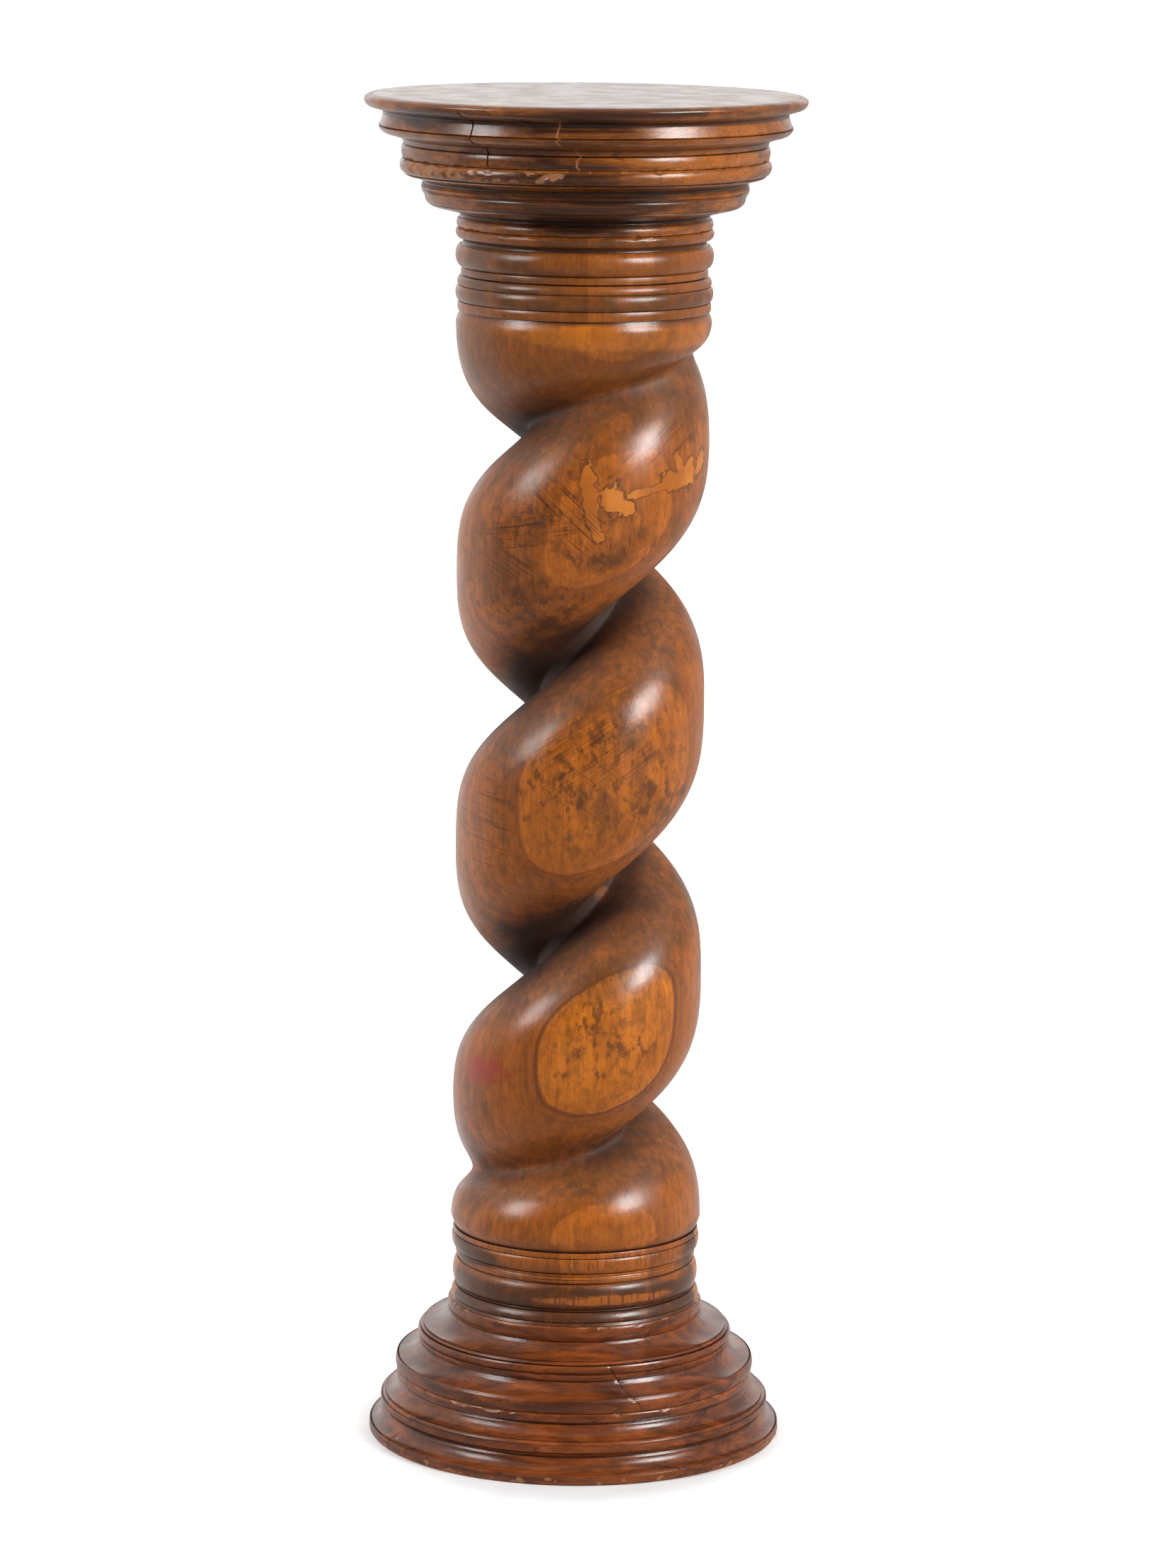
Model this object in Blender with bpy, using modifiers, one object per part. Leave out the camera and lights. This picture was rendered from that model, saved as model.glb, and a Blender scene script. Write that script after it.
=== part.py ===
"""Carved wood pedestal: a twisted shaft between a stepped turned capital and a stepped turned base.

Metres, +Z up. The origin is on the floor at the middle of the foot.
"""

import math

import bmesh
import bpy

# Largest radius of each turned block and of the shaft's rings

UPPER_CAPITAL_RADIUS = 0.1935
LOWER_CAPITAL_RADIUS = 0.1622
SHAFT_RADIUS = 0.1133
UPPER_BASE_RADIUS = 0.1614
LOWER_BASE_RADIUS = 0.1850

# Gap between a block and the one that it stands on

JOINT_GAP = 0.0003

# How far the top edge of each stack of mouldings starts inside its largest radius

UPPER_CAPITAL_SHOULDER = 0.0065
LOWER_CAPITAL_SHOULDER = 0.0032
COLLAR_SHOULDER = 0.0024
RINGS_SHOULDER = 0.0045
UPPER_BASE_SHOULDER = 0.0486
LOWER_BASE_SHOULDER = 0.0260

# Mouldings of each block, from its top to its foot. Each one gives its form, its height, how far its
# foot stands inside the block's largest radius, and how far a bead or a hollow swells.

UPPER_CAPITAL_MOULDINGS = (
    ("round", 0.0038, 0.0000, 0),
    ("round", 0.0072, 0.0067, 0),
    ("straight", 0.0028, 0.0150, 0),
    ("cove", 0.0032, 0.0165, 0),
    ("straight", 0.0093, 0.0136, 0),
    ("bead", 0.0075, 0.0190, 0.0026),
    ("straight", 0.0030, 0.0295, 0),
    ("cove", 0.0062, 0.0341, 0),
    ("bead", 0.0118, 0.0343, 0.0017),
)
LOWER_CAPITAL_MOULDINGS = (
    ("bead", 0.0124, 0.0037, 0.0036),
    ("round", 0.0035, 0.0112, 0),
    ("straight", 0.0028, 0.0184, 0),
    ("cove", 0.0027, 0.0201, 0),
    ("bead", 0.0090, 0.0210, 0.0018),
    ("straight", 0.0030, 0.0220, 0),
    ("round", 0.0085, 0.0322, 0),
    ("straight", 0.0040, 0.0472, 0),
    ("cove", 0.0028, 0.0531, 0),
    ("straight", 0.0028, 0.0517, 0),
    ("bead", 0.0082, 0.0516, 0.0018),
)
COLLAR_MOULDINGS = (
    ("bead", 0.0090, 0.0035, 0.0029),
    ("hollow", 0.0053, 0.0046, 0.0025),
    ("bead", 0.0196, 0.0053, 0.0049),
    ("straight", 0.0041, 0.0048, 0),
    ("straight", 0.0033, 0.0051, 0),
    ("bead", 0.0083, 0.0031, 0.0023),
    ("bead", 0.0139, 0.0033, 0.0031),
    ("bead", 0.0090, 0.0033, 0.0014),
)
RINGS_MOULDINGS = (
    ("bead", 0.0059, 0.0038, 0.0012),
    ("bead", 0.0140, 0.0051, 0.0026),
    ("straight", 0.0061, 0.0057, 0),
    ("straight", 0.0042, 0.0075, 0),
    ("bead", 0.0228, 0.0067, 0.0041),
    ("straight", 0.0020, 0.0059, 0),
    ("bead", 0.0085, 0.0025, 0.0006),
    ("straight", 0.0034, 0.0011, 0),
)
UPPER_BASE_MOULDINGS = (
    ("bead", 0.0130, 0.0489, 0.0020),
    ("cove", 0.0111, 0.0248, 0),
    ("straight", 0.0035, 0.0222, 0),
    ("bead", 0.0077, 0.0220, 0.0019),
    ("bead", 0.0064, 0.0226, 0.0010),
    ("cove", 0.0116, 0.0022, 0),
    ("bead", 0.0125, 0.0024, 0.0023),
)
LOWER_BASE_MOULDINGS = (
    ("bead", 0.0072, 0.0258, 0.0012),
    ("straight", 0.0022, 0.0275, 0),
    ("cove", 0.0116, 0.0145, 0),
    ("straight", 0.0032, 0.0115, 0),
    ("bead", 0.0075, 0.0115, 0.0012),
    ("straight", 0.0037, 0.0138, 0),
    ("cove", 0.0120, 0.0022, 0),
    ("round", 0.0028, 0.0000, 0),
    ("straight", 0.0054, 0.0000, 0),
    ("straight", 0.0016, 0.0012, 0),
)

# Twist: one groove climbs to the right around the log, and the fat lobe winds between its turns.
# Turns are counted from the +X side, and heights from the foot of the twist.

TWIST_LENGTH = 0.8218
TWIST_PITCH = 0.2483
GROOVE_DEPTH = 0.1148
GROOVE_ROUNDING = 0.0090
CORE_RADIUS = 0.0220
CORE_ROUNDING = 0.0060
LOBE_FULLNESS = 3.05
LOBE_OVERLAP = 0.065

# The lobe's crest stands this far inside the rings: at the middle, below the collar, over the rings

CREST_INSET = 0.0034
COLLAR_CREST_INSET = 0.0007
RINGS_CREST_INSET = 0.0007

# Ends of the groove: where its path levels out, over how many turns it eases, and where it fades

GROOVE_RUNOUT = 0.0212
GROOVE_OVERRUN = 0.0558
LOWER_EASE_TURN = -0.32
LOWER_EASE_SPAN = 0.73
UPPER_EASE_SPAN = 1.18
LOWER_FADE_OFFSET = -0.02
LOWER_FADE_SPAN = 0.67
UPPER_FADE_OFFSET = -0.32
UPPER_FADE_SPAN = 0.66

# Fineness of the turned and carved faces

BLOCK_SIDES = 24
SHAFT_SIDES = 22
QUARTER_STEPS = 3
SMALL_BEAD_STEPS = 3
MIDDLE_BEAD_STEPS = 4
LARGE_BEAD_STEPS = 5
MIDDLE_BEAD_HEIGHT = 0.0088
LARGE_BEAD_HEIGHT = 0.0150
MERGE_DISTANCE = 0.0001
CREASE_ANGLE = math.radians(50)

# Finishes: linear colour and roughness

CAPITAL_FINISH = ((0.26, 0.085, 0.025, 1.0), 0.30)
SHAFT_FINISH = ((0.42, 0.160, 0.035, 1.0), 0.28)
BASE_FINISH = ((0.24, 0.065, 0.020, 1.0), 0.30)


def quarter_curve(start, end, steep_first, steps):
    """Points of a quarter ellipse that runs from start, left out, to end."""
    points = []
    for step in range(1, steps + 1):
        angle = 0.5 * math.pi * step / steps
        across, down = math.sin(angle), 1 - math.cos(angle)
        if steep_first:
            across, down = down, across
        radius = start[0] + (end[0] - start[0]) * across
        points.append((radius, start[1] + (end[1] - start[1]) * down))
    return points


def half_curve(start, end, swell, steps):
    """Points of a half ellipse that swells out from the line between start, left out, and end."""
    points = []
    for step in range(1, steps + 1):
        angle = math.pi * step / steps
        along = 0.5 * (1 - math.cos(angle))
        radius = start[0] + (end[0] - start[0]) * along + swell * math.sin(angle)
        points.append((radius, start[1] + (end[1] - start[1]) * along))
    return points


def bead_steps(height):
    if height > LARGE_BEAD_HEIGHT:
        return LARGE_BEAD_STEPS
    if height > MIDDLE_BEAD_HEIGHT:
        return MIDDLE_BEAD_STEPS
    return SMALL_BEAD_STEPS


def moulding_outline(largest_radius, shoulder, top, mouldings):
    """Outline of a stack of mouldings as radius and height, from its top to its foot."""
    outline = [(largest_radius - shoulder, top)]
    for form, height, inset, swell in mouldings:
        start = outline[-1]
        end = (largest_radius - inset, start[1] - height)
        widens = end[0] > start[0]
        if form == "straight":
            outline.append(end)
        elif form == "round":
            outline += quarter_curve(start, end, not widens, QUARTER_STEPS)
        elif form == "cove":
            outline += quarter_curve(start, end, widens, QUARTER_STEPS)
        elif form == "hollow":
            outline += half_curve(start, end, -swell, bead_steps(height))
        else:
            outline += half_curve(start, end, swell, bead_steps(height))
    return outline


def stack_height(mouldings):
    return sum(height for form, height, inset, swell in mouldings)


def finish_material(name, finish):
    """Polished wood of one colour and roughness."""
    colour, roughness = finish
    material = bpy.data.materials.new(name)
    material.use_nodes = True
    shader = material.node_tree.nodes["Principled BSDF"]
    shader.inputs["Base Color"].default_value = colour
    shader.inputs["Roughness"].default_value = roughness
    material.diffuse_color = colour
    return material


def turned_object(name, outline, sides, collection):
    """Turn an outline that runs from top to foot about the Z axis, closed by a flat top and foot."""
    points = [(0.0, outline[0][1])] + outline + [(0.0, outline[-1][1])]
    edges = [(index, index + 1) for index in range(len(points) - 1)]
    mesh = bpy.data.meshes.new(name)
    mesh.from_pydata([(radius, 0.0, height) for radius, height in points], edges, [])
    turned = bpy.data.objects.new(name, mesh)
    collection.objects.link(turned)
    lathe = turned.modifiers.new("Lathe", "SCREW")
    lathe.axis = "Z"
    lathe.steps = sides
    lathe.render_steps = sides
    lathe.use_merge_vertices = True
    lathe.merge_threshold = MERGE_DISTANCE
    return turned


def finished_mesh(turned):
    """Replace a turned object's outline by its evaluated mesh, so that it can be carved."""
    evaluated = turned.evaluated_get(bpy.context.evaluated_depsgraph_get())
    mesh = bpy.data.meshes.new_from_object(evaluated)
    turned.modifiers.clear()
    turned.data = mesh
    return mesh


def shade_round(mesh):
    mesh.shade_smooth()
    mesh.set_sharp_from_angle(angle=CREASE_ANGLE)


def smooth_step(value):
    value = min(max(value, 0.0), 1.0)
    return value * value * (3 - 2 * value)


def eased_turns(turn, middle, span):
    """Turns climbed once a slope that grows evenly from 0 to 1 over middle +- span has reached turn."""
    share = min(max((turn - middle + span) / (2 * span), 0.0), 1.0)
    return span * share * share + max(turn - middle - span, 0.0)


def upper_ease_turn():
    """Turn at which the groove would stop climbing if it stopped at once."""
    climb = TWIST_LENGTH + GROOVE_OVERRUN - GROOVE_RUNOUT
    return LOWER_EASE_TURN + climb / TWIST_PITCH


def groove_height(turn):
    """Height of the groove's bottom above the foot of the twist."""
    started = eased_turns(turn, LOWER_EASE_TURN, LOWER_EASE_SPAN)
    stopped = eased_turns(turn, upper_ease_turn(), UPPER_EASE_SPAN)
    return GROOVE_RUNOUT + TWIST_PITCH * (started - stopped)


def groove_strength(turn):
    """Share of its full depth that the groove has, which fades to nothing at both ends."""
    lower = LOWER_EASE_TURN + LOWER_FADE_OFFSET
    upper = upper_ease_turn() + UPPER_FADE_OFFSET
    fade_in = smooth_step(0.5 + (turn - lower) / (2 * LOWER_FADE_SPAN))
    fade_out = smooth_step(0.5 + (turn - upper) / (2 * UPPER_FADE_SPAN))
    return fade_in * (1 - fade_out)


def lobe_drop(share):
    """Depth below the crest, 0 to 1, at a share of the way from the crest to the groove's bottom."""
    def drop(reach):
        return 1 - (1 - reach ** LOBE_FULLNESS) ** (1 / LOBE_FULLNESS)

    reach = min(max(share, 0.0), 1.0) / (1 + LOBE_OVERLAP)
    return drop(reach) / drop(1 / (1 + LOBE_OVERLAP))


def groove_turns(angle):
    """Every turn at which the groove passes an angle, from below the twist to above it."""
    first = math.floor(LOWER_EASE_TURN - LOWER_EASE_SPAN) - 1
    last = math.ceil(upper_ease_turn() + UPPER_EASE_SPAN) + 1
    return [angle / (2 * math.pi) + whole for whole in range(first, last + 1)]


def groove_depth(angle, height):
    """Depth of the carving at an angle and a height above the foot of the twist."""
    turns = groove_turns(angle)
    deepest = 0.0
    for below, turn, above in zip(turns, turns[1:], turns[2:]):
        bottom = groove_height(turn)
        if height > bottom:
            free = min(TWIST_PITCH / 2, TWIST_LENGTH - bottom)
            shared = (groove_height(above) - bottom) / 2
            flank = free + (shared - free) * groove_strength(above)
        else:
            free = min(TWIST_PITCH / 2, bottom)
            shared = (bottom - groove_height(below)) / 2
            flank = free + (shared - free) * groove_strength(below)
        if flank > MERGE_DISTANCE:
            share = 1 - math.hypot(height - bottom, GROOVE_ROUNDING) / flank
            deepest = max(deepest, groove_strength(turn) * lobe_drop(share))
    return GROOVE_DEPTH * deepest


def twist_rows():
    """Rows of faces in the twist, each as high as the groove climbs over one side of the shaft."""
    return round(SHAFT_SIDES * TWIST_LENGTH / TWIST_PITCH)


def crest_radius(height):
    """Radius of the uncarved log, a little waisted at its middle."""
    from_middle = 2 * height / TWIST_LENGTH - 1
    end_inset = COLLAR_CREST_INSET if from_middle > 0 else RINGS_CREST_INSET
    inset = CREST_INSET + (end_inset - CREST_INSET) * from_middle ** 2
    return SHAFT_RADIUS - inset


def carved_radius(angle, height):
    """Radius of the twist, with the core kept whole at the bottom of the groove."""
    over_core = crest_radius(height) - groove_depth(angle, height) - CORE_RADIUS
    return CORE_RADIUS + 0.5 * (over_core + math.hypot(over_core, CORE_ROUNDING))


def settled_height(angle, height, row_height):
    """The groove's own height where a corner is the nearest to its bottom, else the height given."""
    bottoms = [groove_height(turn) for turn in groove_turns(angle)]
    nearest = min(bottoms, key=lambda bottom: abs(bottom - height))
    return nearest if abs(nearest - height) < row_height / 2 else height


def carve_twist(mesh, foot):
    """Cut the groove into the plain length of a turned shaft, and split its faces along the groove."""
    row_height = TWIST_LENGTH / twist_rows()
    shape = bmesh.new()
    shape.from_mesh(mesh)
    for vertex in shape.verts:
        height = vertex.co.z - foot
        if MERGE_DISTANCE < height < TWIST_LENGTH - MERGE_DISTANCE:
            angle = math.atan2(vertex.co.y, vertex.co.x)
            if row_height < height < TWIST_LENGTH - row_height:
                height = settled_height(angle, height, row_height)
            radius = carved_radius(angle, height)
            vertex.co.x = radius * math.cos(angle)
            vertex.co.y = radius * math.sin(angle)
            vertex.co.z = foot + height
    for face in [face for face in shape.faces if len(face.verts) == 4]:
        corners = list(face.verts)
        reach = [corner.co.xy.length for corner in corners]
        first = 0 if abs(reach[0] - reach[2]) < abs(reach[1] - reach[3]) else 1
        bmesh.utils.face_split(face, corners[first], corners[first + 2])
    shape.to_mesh(mesh)
    shape.free()


def block(name, largest_radius, shoulder, top, mouldings, finish, collection):
    outline = moulding_outline(largest_radius, shoulder, top, mouldings)
    turned = turned_object(name, outline, BLOCK_SIDES, collection)
    shade_round(finished_mesh(turned))
    turned.data.materials.append(finish_material(name, finish))


def shaft(name, top, finish, collection):
    """One log: the collar's mouldings, the twist and the mouldings of the rings."""
    collar = moulding_outline(SHAFT_RADIUS, COLLAR_SHOULDER, top, COLLAR_MOULDINGS)
    collar_foot = collar[-1][1]
    twist_foot = collar_foot - TWIST_LENGTH
    rows = twist_rows()
    heights = [collar_foot - TWIST_LENGTH * row / rows for row in range(1, rows)]
    log = [(SHAFT_RADIUS, height) for height in heights]
    rings = moulding_outline(SHAFT_RADIUS, RINGS_SHOULDER, twist_foot, RINGS_MOULDINGS)
    turned = turned_object(name, collar + log + rings, SHAFT_SIDES, collection)
    carve_twist(finished_mesh(turned), twist_foot)
    shade_round(turned.data)
    turned.data.materials.append(finish_material(name, finish))


def build():
    for old in list(bpy.data.objects):
        bpy.data.objects.remove(old)
    collection = bpy.data.collections.new("carved_wood_pedestal")
    bpy.context.scene.collection.children.link(collection)

    lower_base_top = stack_height(LOWER_BASE_MOULDINGS)
    upper_base_top = lower_base_top + JOINT_GAP + stack_height(UPPER_BASE_MOULDINGS)
    shaft_height = stack_height(RINGS_MOULDINGS) + TWIST_LENGTH + stack_height(COLLAR_MOULDINGS)
    shaft_top = upper_base_top + JOINT_GAP + shaft_height
    lower_capital_top = shaft_top + JOINT_GAP + stack_height(LOWER_CAPITAL_MOULDINGS)
    upper_capital_top = lower_capital_top + JOINT_GAP + stack_height(UPPER_CAPITAL_MOULDINGS)

    block("lower_base_block", LOWER_BASE_RADIUS, LOWER_BASE_SHOULDER, lower_base_top,
          LOWER_BASE_MOULDINGS, BASE_FINISH, collection)
    block("upper_base_block", UPPER_BASE_RADIUS, UPPER_BASE_SHOULDER, upper_base_top,
          UPPER_BASE_MOULDINGS, BASE_FINISH, collection)
    shaft("twisted_shaft", shaft_top, SHAFT_FINISH, collection)
    block("lower_capital_block", LOWER_CAPITAL_RADIUS, LOWER_CAPITAL_SHOULDER, lower_capital_top,
          LOWER_CAPITAL_MOULDINGS, CAPITAL_FINISH, collection)
    block("upper_capital_block", UPPER_CAPITAL_RADIUS, UPPER_CAPITAL_SHOULDER, upper_capital_top,
          UPPER_CAPITAL_MOULDINGS, CAPITAL_FINISH, collection)


build()
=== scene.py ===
import math
from collections import namedtuple

import bpy
import numpy as np
from mathutils import Matrix, Vector, noise
from mathutils.kdtree import KDTree


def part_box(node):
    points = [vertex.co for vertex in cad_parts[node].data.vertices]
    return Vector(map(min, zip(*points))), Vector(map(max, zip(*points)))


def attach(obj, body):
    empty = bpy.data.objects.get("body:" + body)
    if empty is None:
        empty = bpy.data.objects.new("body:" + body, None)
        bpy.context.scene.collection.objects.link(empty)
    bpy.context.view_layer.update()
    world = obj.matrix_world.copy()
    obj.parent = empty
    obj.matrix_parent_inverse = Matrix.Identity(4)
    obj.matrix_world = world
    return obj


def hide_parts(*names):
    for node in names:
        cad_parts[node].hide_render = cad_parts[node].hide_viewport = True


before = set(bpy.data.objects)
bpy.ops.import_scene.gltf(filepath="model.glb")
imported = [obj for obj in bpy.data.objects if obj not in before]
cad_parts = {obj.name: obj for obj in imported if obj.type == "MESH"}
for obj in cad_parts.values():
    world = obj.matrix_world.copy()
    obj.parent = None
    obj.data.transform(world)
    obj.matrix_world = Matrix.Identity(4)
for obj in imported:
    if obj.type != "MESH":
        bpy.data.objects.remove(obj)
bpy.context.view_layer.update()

bl_info = {
    "name": "Carved wood pedestal",
    "version": (1, 0, 0),
    "blender": (4, 5, 0),
    "location": "3D View > Sidebar > Pedestal",
    "description": "Turns the blocks, carves the twisted shaft and finishes the old polished wood",
    "category": "Add Mesh",
}

# The fixed frame: the body that the pieces hang from, and the blocks' own boxes

BODY = "root"


def node_top(node):
    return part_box(node)[1].z


def node_foot(node):
    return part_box(node)[0].z


def node_radius(node):
    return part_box(node)[1].x


# Mouldings of each block, from its top to its foot. Each one gives its form, its height, how far its
# foot stands inside the block's largest radius, and how far a bead or a hollow swells, in metres.

UPPER_CAPITAL_MOULDINGS = (
    ("round", 0.0038, 0, 0),
    ("round", 0.0072, 0.0067, 0),
    ("straight", 0.0028, 0.015, 0),
    ("cove", 0.0032, 0.0165, 0),
    ("straight", 0.0093, 0.0136, 0),
    ("bead", 0.0075, 0.019, 0.0026),
    ("straight", 0.003, 0.0295, 0),
    ("cove", 0.0062, 0.0341, 0),
    ("bead", 0.0118, 0.0343, 0.0017),
)
LOWER_CAPITAL_MOULDINGS = (
    ("bead", 0.0124, 0.0037, 0.0036),
    ("round", 0.0035, 0.0112, 0),
    ("straight", 0.0028, 0.0184, 0),
    ("cove", 0.0027, 0.0201, 0),
    ("bead", 0.009, 0.021, 0.0018),
    ("straight", 0.003, 0.022, 0),
    ("round", 0.0085, 0.0322, 0),
    ("straight", 0.004, 0.0472, 0),
    ("cove", 0.0028, 0.0531, 0),
    ("straight", 0.0028, 0.0517, 0),
    ("bead", 0.0082, 0.0516, 0.0018),
)
COLLAR_MOULDINGS = (
    ("bead", 0.009, 0.0035, 0.0029),
    ("hollow", 0.0053, 0.0046, 0.0025),
    ("bead", 0.0196, 0.0053, 0.0049),
    ("straight", 0.0041, 0.0048, 0),
    ("straight", 0.0033, 0.0051, 0),
    ("bead", 0.0083, 0.0031, 0.0023),
    ("bead", 0.0139, 0.0033, 0.0031),
    ("bead", 0.009, 0.0033, 0.0014),
)
RINGS_MOULDINGS = (
    ("bead", 0.0059, 0.0038, 0.0012),
    ("bead", 0.014, 0.0051, 0.0026),
    ("straight", 0.0061, 0.0057, 0),
    ("straight", 0.0042, 0.0075, 0),
    ("bead", 0.0228, 0.0067, 0.0041),
    ("straight", 0.002, 0.0059, 0),
    ("bead", 0.0085, 0.0025, 0.0016),
    ("straight", 0.0034, 0.0011, 0),
)
UPPER_BASE_MOULDINGS = (
    ("bead", 0.013, 0.0489, 0.002),
    ("cove", 0.0111, 0.0248, 0),
    ("straight", 0.0035, 0.0222, 0),
    ("bead", 0.0077, 0.022, 0.0019),
    ("bead", 0.0064, 0.0226, 0.001),
    ("cove", 0.0116, 0.0022, 0),
    ("bead", 0.0125, 0.0024, 0.0023),
)
LOWER_BASE_MOULDINGS = (
    ("bead", 0.0072, 0.0258, 0.0012),
    ("straight", 0.0022, 0.0275, 0),
    ("cove", 0.0116, 0.0145, 0),
    ("straight", 0.0032, 0.0115, 0),
    ("bead", 0.0075, 0.0115, 0.0012),
    ("straight", 0.0037, 0.0138, 0),
    ("cove", 0.012, 0.0022, 0),
    ("round", 0.0028, 0, 0),
    ("straight", 0.0054, 0, 0),
    ("straight", 0.0016, 0.0012, 0),
)
COLLAR_SHOULDER = 0.0024
RINGS_SHOULDER = 0.0045

# Lines that the turner cut with the point of the chisel: height below the block's top and depth

UPPER_CAPITAL_LINES = ((0.011, 0.0013), (0.0267, 0.0016), (0.0346, 0.0008), (0.043, 0.001))
LOWER_CAPITAL_LINES = (
    (0.0129, 0.001), (0.0231, 0.0009), (0.027, 0.0009), (0.0287, 0.0008), (0.0386, 0.0009),
    (0.0412, 0.0009), (0.0515, 0.001),
)
COLLAR_LINES = (
    (0.009, 0.0012), (0.0143, 0.0012), (0.0339, 0.0016), (0.0413, 0.0012), (0.0496, 0.0016),
    (0.0635, 0.0013), (0.0725, 0.0021),
)
RINGS_LINES = (
    (0.0003, 0.0016), (0.0059, 0.0016), (0.0202, 0.0009), (0.023, 0.0008), (0.0261, 0.0008),
    (0.0302, 0.0013), (0.053, 0.0013), (0.055, 0.001), (0.0635, 0.0013),
)
UPPER_BASE_LINES = (
    (0.013, 0.0013), (0.0245, 0.0012), (0.0276, 0.0016), (0.0353, 0.0016), (0.0417, 0.0012),
    (0.0533, 0.0016),
)
LOWER_BASE_LINES = (
    (0.0072, 0.001), (0.0094, 0.0012), (0.0212, 0.0012), (0.0243, 0.0012), (0.0319, 0.0013),
    (0.0354, 0.001), (0.0476, 0.0016),
)
LINE_WIDTH = 0.0017
TOP_LINE_RADIUS = 0.1872
TOP_LINE_DEPTH = 0.0009
TOP_LINE_RISE = 0.00018
LIP_HEIGHT = 0.003

# Twist: one groove climbs to the right around the log. Turns are counted from the +X side, and
# heights from the foot of the twist.

TWIST_PITCH = 0.2483
GROOVE_DEPTH = 0.1148
GROOVE_ROUNDING = 0.0090
FLANK_BLEND = 0.0160
CORE_RADIUS = 0.0345
CORE_ROUNDING = 0.0060
FLOOR_START = 0.45
FLOOR_STEEPNESS = 0.85
LOBE_FULLNESS = 3.05
LOBE_OVERLAP = 0.065
CREST_INSET = 0.0034
COLLAR_CREST_INSET = 0.0007
RINGS_CREST_INSET = 0.0007
COLLAR_TUCK = 0.0022
RINGS_TUCK = 0.0036
TUCK_HEIGHT = 0.0090
GROOVE_RUNOUT = 0.0212
GROOVE_OVERRUN = 0.0558
LOWER_EASE_TURN = -0.32
LOWER_EASE_SPAN = 0.73
UPPER_EASE_SPAN = 1.18
LOWER_FADE_OFFSET = -0.02
LOWER_FADE_SPAN = 0.67
UPPER_FADE_OFFSET = -0.32
UPPER_FADE_SPAN = 0.66

# Fineness of the visible surface

PROFILE_STEP = 0.0011
BLOCK_SIDES = 288
SHAFT_SIDES = 208
TWIST_ROWS = 236
ROW_CROWDING = 2.6
ROW_CROWD_REACH = 0.018
CROWDING_SAMPLES = 800
TOP_RING_STEP = 0.0062
MERGE_DISTANCE = 0.00001
CREASE_ANGLE = math.radians(46)
FRONT = math.radians(-90)
FRONT_CROWDING = 0.38

# Boards of the upper capital block: they meet on upright planes at 45 degrees, y = x - offset

BOARD_OFFSETS = (0.054, 0.154)

# Cracks of the two base blocks: heights from low to high, the angles there in degrees, and depth

UPPER_BASE_CRACKS = (((0.0601, 0.0717, 0.0954), (-67.5, -71.5, -77.0), 0.0007),)
LOWER_BASE_CRACKS = (
    ((0.0005, 0.0080, 0.0140), (-154.0, -153.2, -153.6), 0.0014),
    ((0.0495, 0.0533, 0.0560), (-84.0, -81.2, -80.0), 0.0007),
)
CRACK_HALF_WIDTH = 0.0005
CRACK_WANDER = 0.0014

# A crack or joint wanders in broad and fine strays, and runs out at both ends

BROAD_STRAY = 160
FINE_STRAY = 420
STRAY_SEED = 9000
SCORE_FADE = 0.002
SCORE_END = 0.15
SCORE_EDGE = 0.35

# Wear: over what length hollows are told from proud edges and what counts in full, how many waves
# to the metre the unevenness and the chips have, and how softly the chips begin

HOLLOW_SPAN = 0.006
FULL_HOLLOW = 0.0014
FULL_PROUD = 0.0012
BROAD_WANDER = 14
FINE_WANDER = 60
STEADY_RADIUS = 0.03
CHIP_SCALE = 95
SPLINTER_SCALE = 260
CHIP_SOFTNESS = 0.22
CHIP_FADE_ANGLE = 0.10
SCRATCH_TURN = 0.2

# The log of the shaft. Its pith ran just behind the turned face, so that the sapwood comes to the
# surface on the front of each lobe. The stations give the sapwood's start as height and radius.

PITH = (-0.0303, 0.1089)
SAPWOOD_STATIONS = (
    (0.0, 0.2195), (0.20, 0.2195), (0.37, 0.2134), (0.60, 0.2055), (0.99, 0.2215), (1.2, 0.2215),
)
RING_DEPTH_RADIUS = 0.1105


def quarter_curve(start, end, steep_first, steps):
    """Points of a quarter ellipse that runs from start, left out, to end."""
    points = []
    for step in range(1, steps + 1):
        angle = 0.5 * math.pi * step / steps
        across, down = math.sin(angle), 1 - math.cos(angle)
        if steep_first:
            across, down = down, across
        points.append((start[0] + (end[0] - start[0]) * across, start[1] + (end[1] - start[1]) * down))
    return points


def half_curve(start, end, swell, steps):
    """Points of a half ellipse that swells out from the line between start, left out, and end."""
    points = []
    for step in range(1, steps + 1):
        angle = math.pi * step / steps
        along = 0.5 * (1 - math.cos(angle))
        radius = start[0] + (end[0] - start[0]) * along + swell * math.sin(angle)
        points.append((radius, start[1] + (end[1] - start[1]) * along))
    return points


def straight_run(start, end, steps):
    return [
        (start[0] + (end[0] - start[0]) * step / steps, start[1] + (end[1] - start[1]) * step / steps)
        for step in range(1, steps + 1)
    ]


def moulding_outline(largest_radius, shoulder, top, mouldings):
    """Outline of a stack of mouldings as radius and height, from its top to its foot."""
    outline = [(largest_radius - shoulder, top)]
    for form, height, inset, swell in mouldings:
        start = outline[-1]
        end = (largest_radius - inset, start[1] - height)
        widens = end[0] > start[0]
        reach = math.dist(start, end) + 2 * abs(swell)
        steps = max(2, math.ceil(reach / PROFILE_STEP))
        if form == "straight":
            outline += straight_run(start, end, steps)
        elif form == "round":
            outline += quarter_curve(start, end, not widens, steps)
        elif form == "cove":
            outline += quarter_curve(start, end, widens, steps)
        else:
            outline += half_curve(start, end, -swell if form == "hollow" else swell, steps)
    return outline


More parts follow.
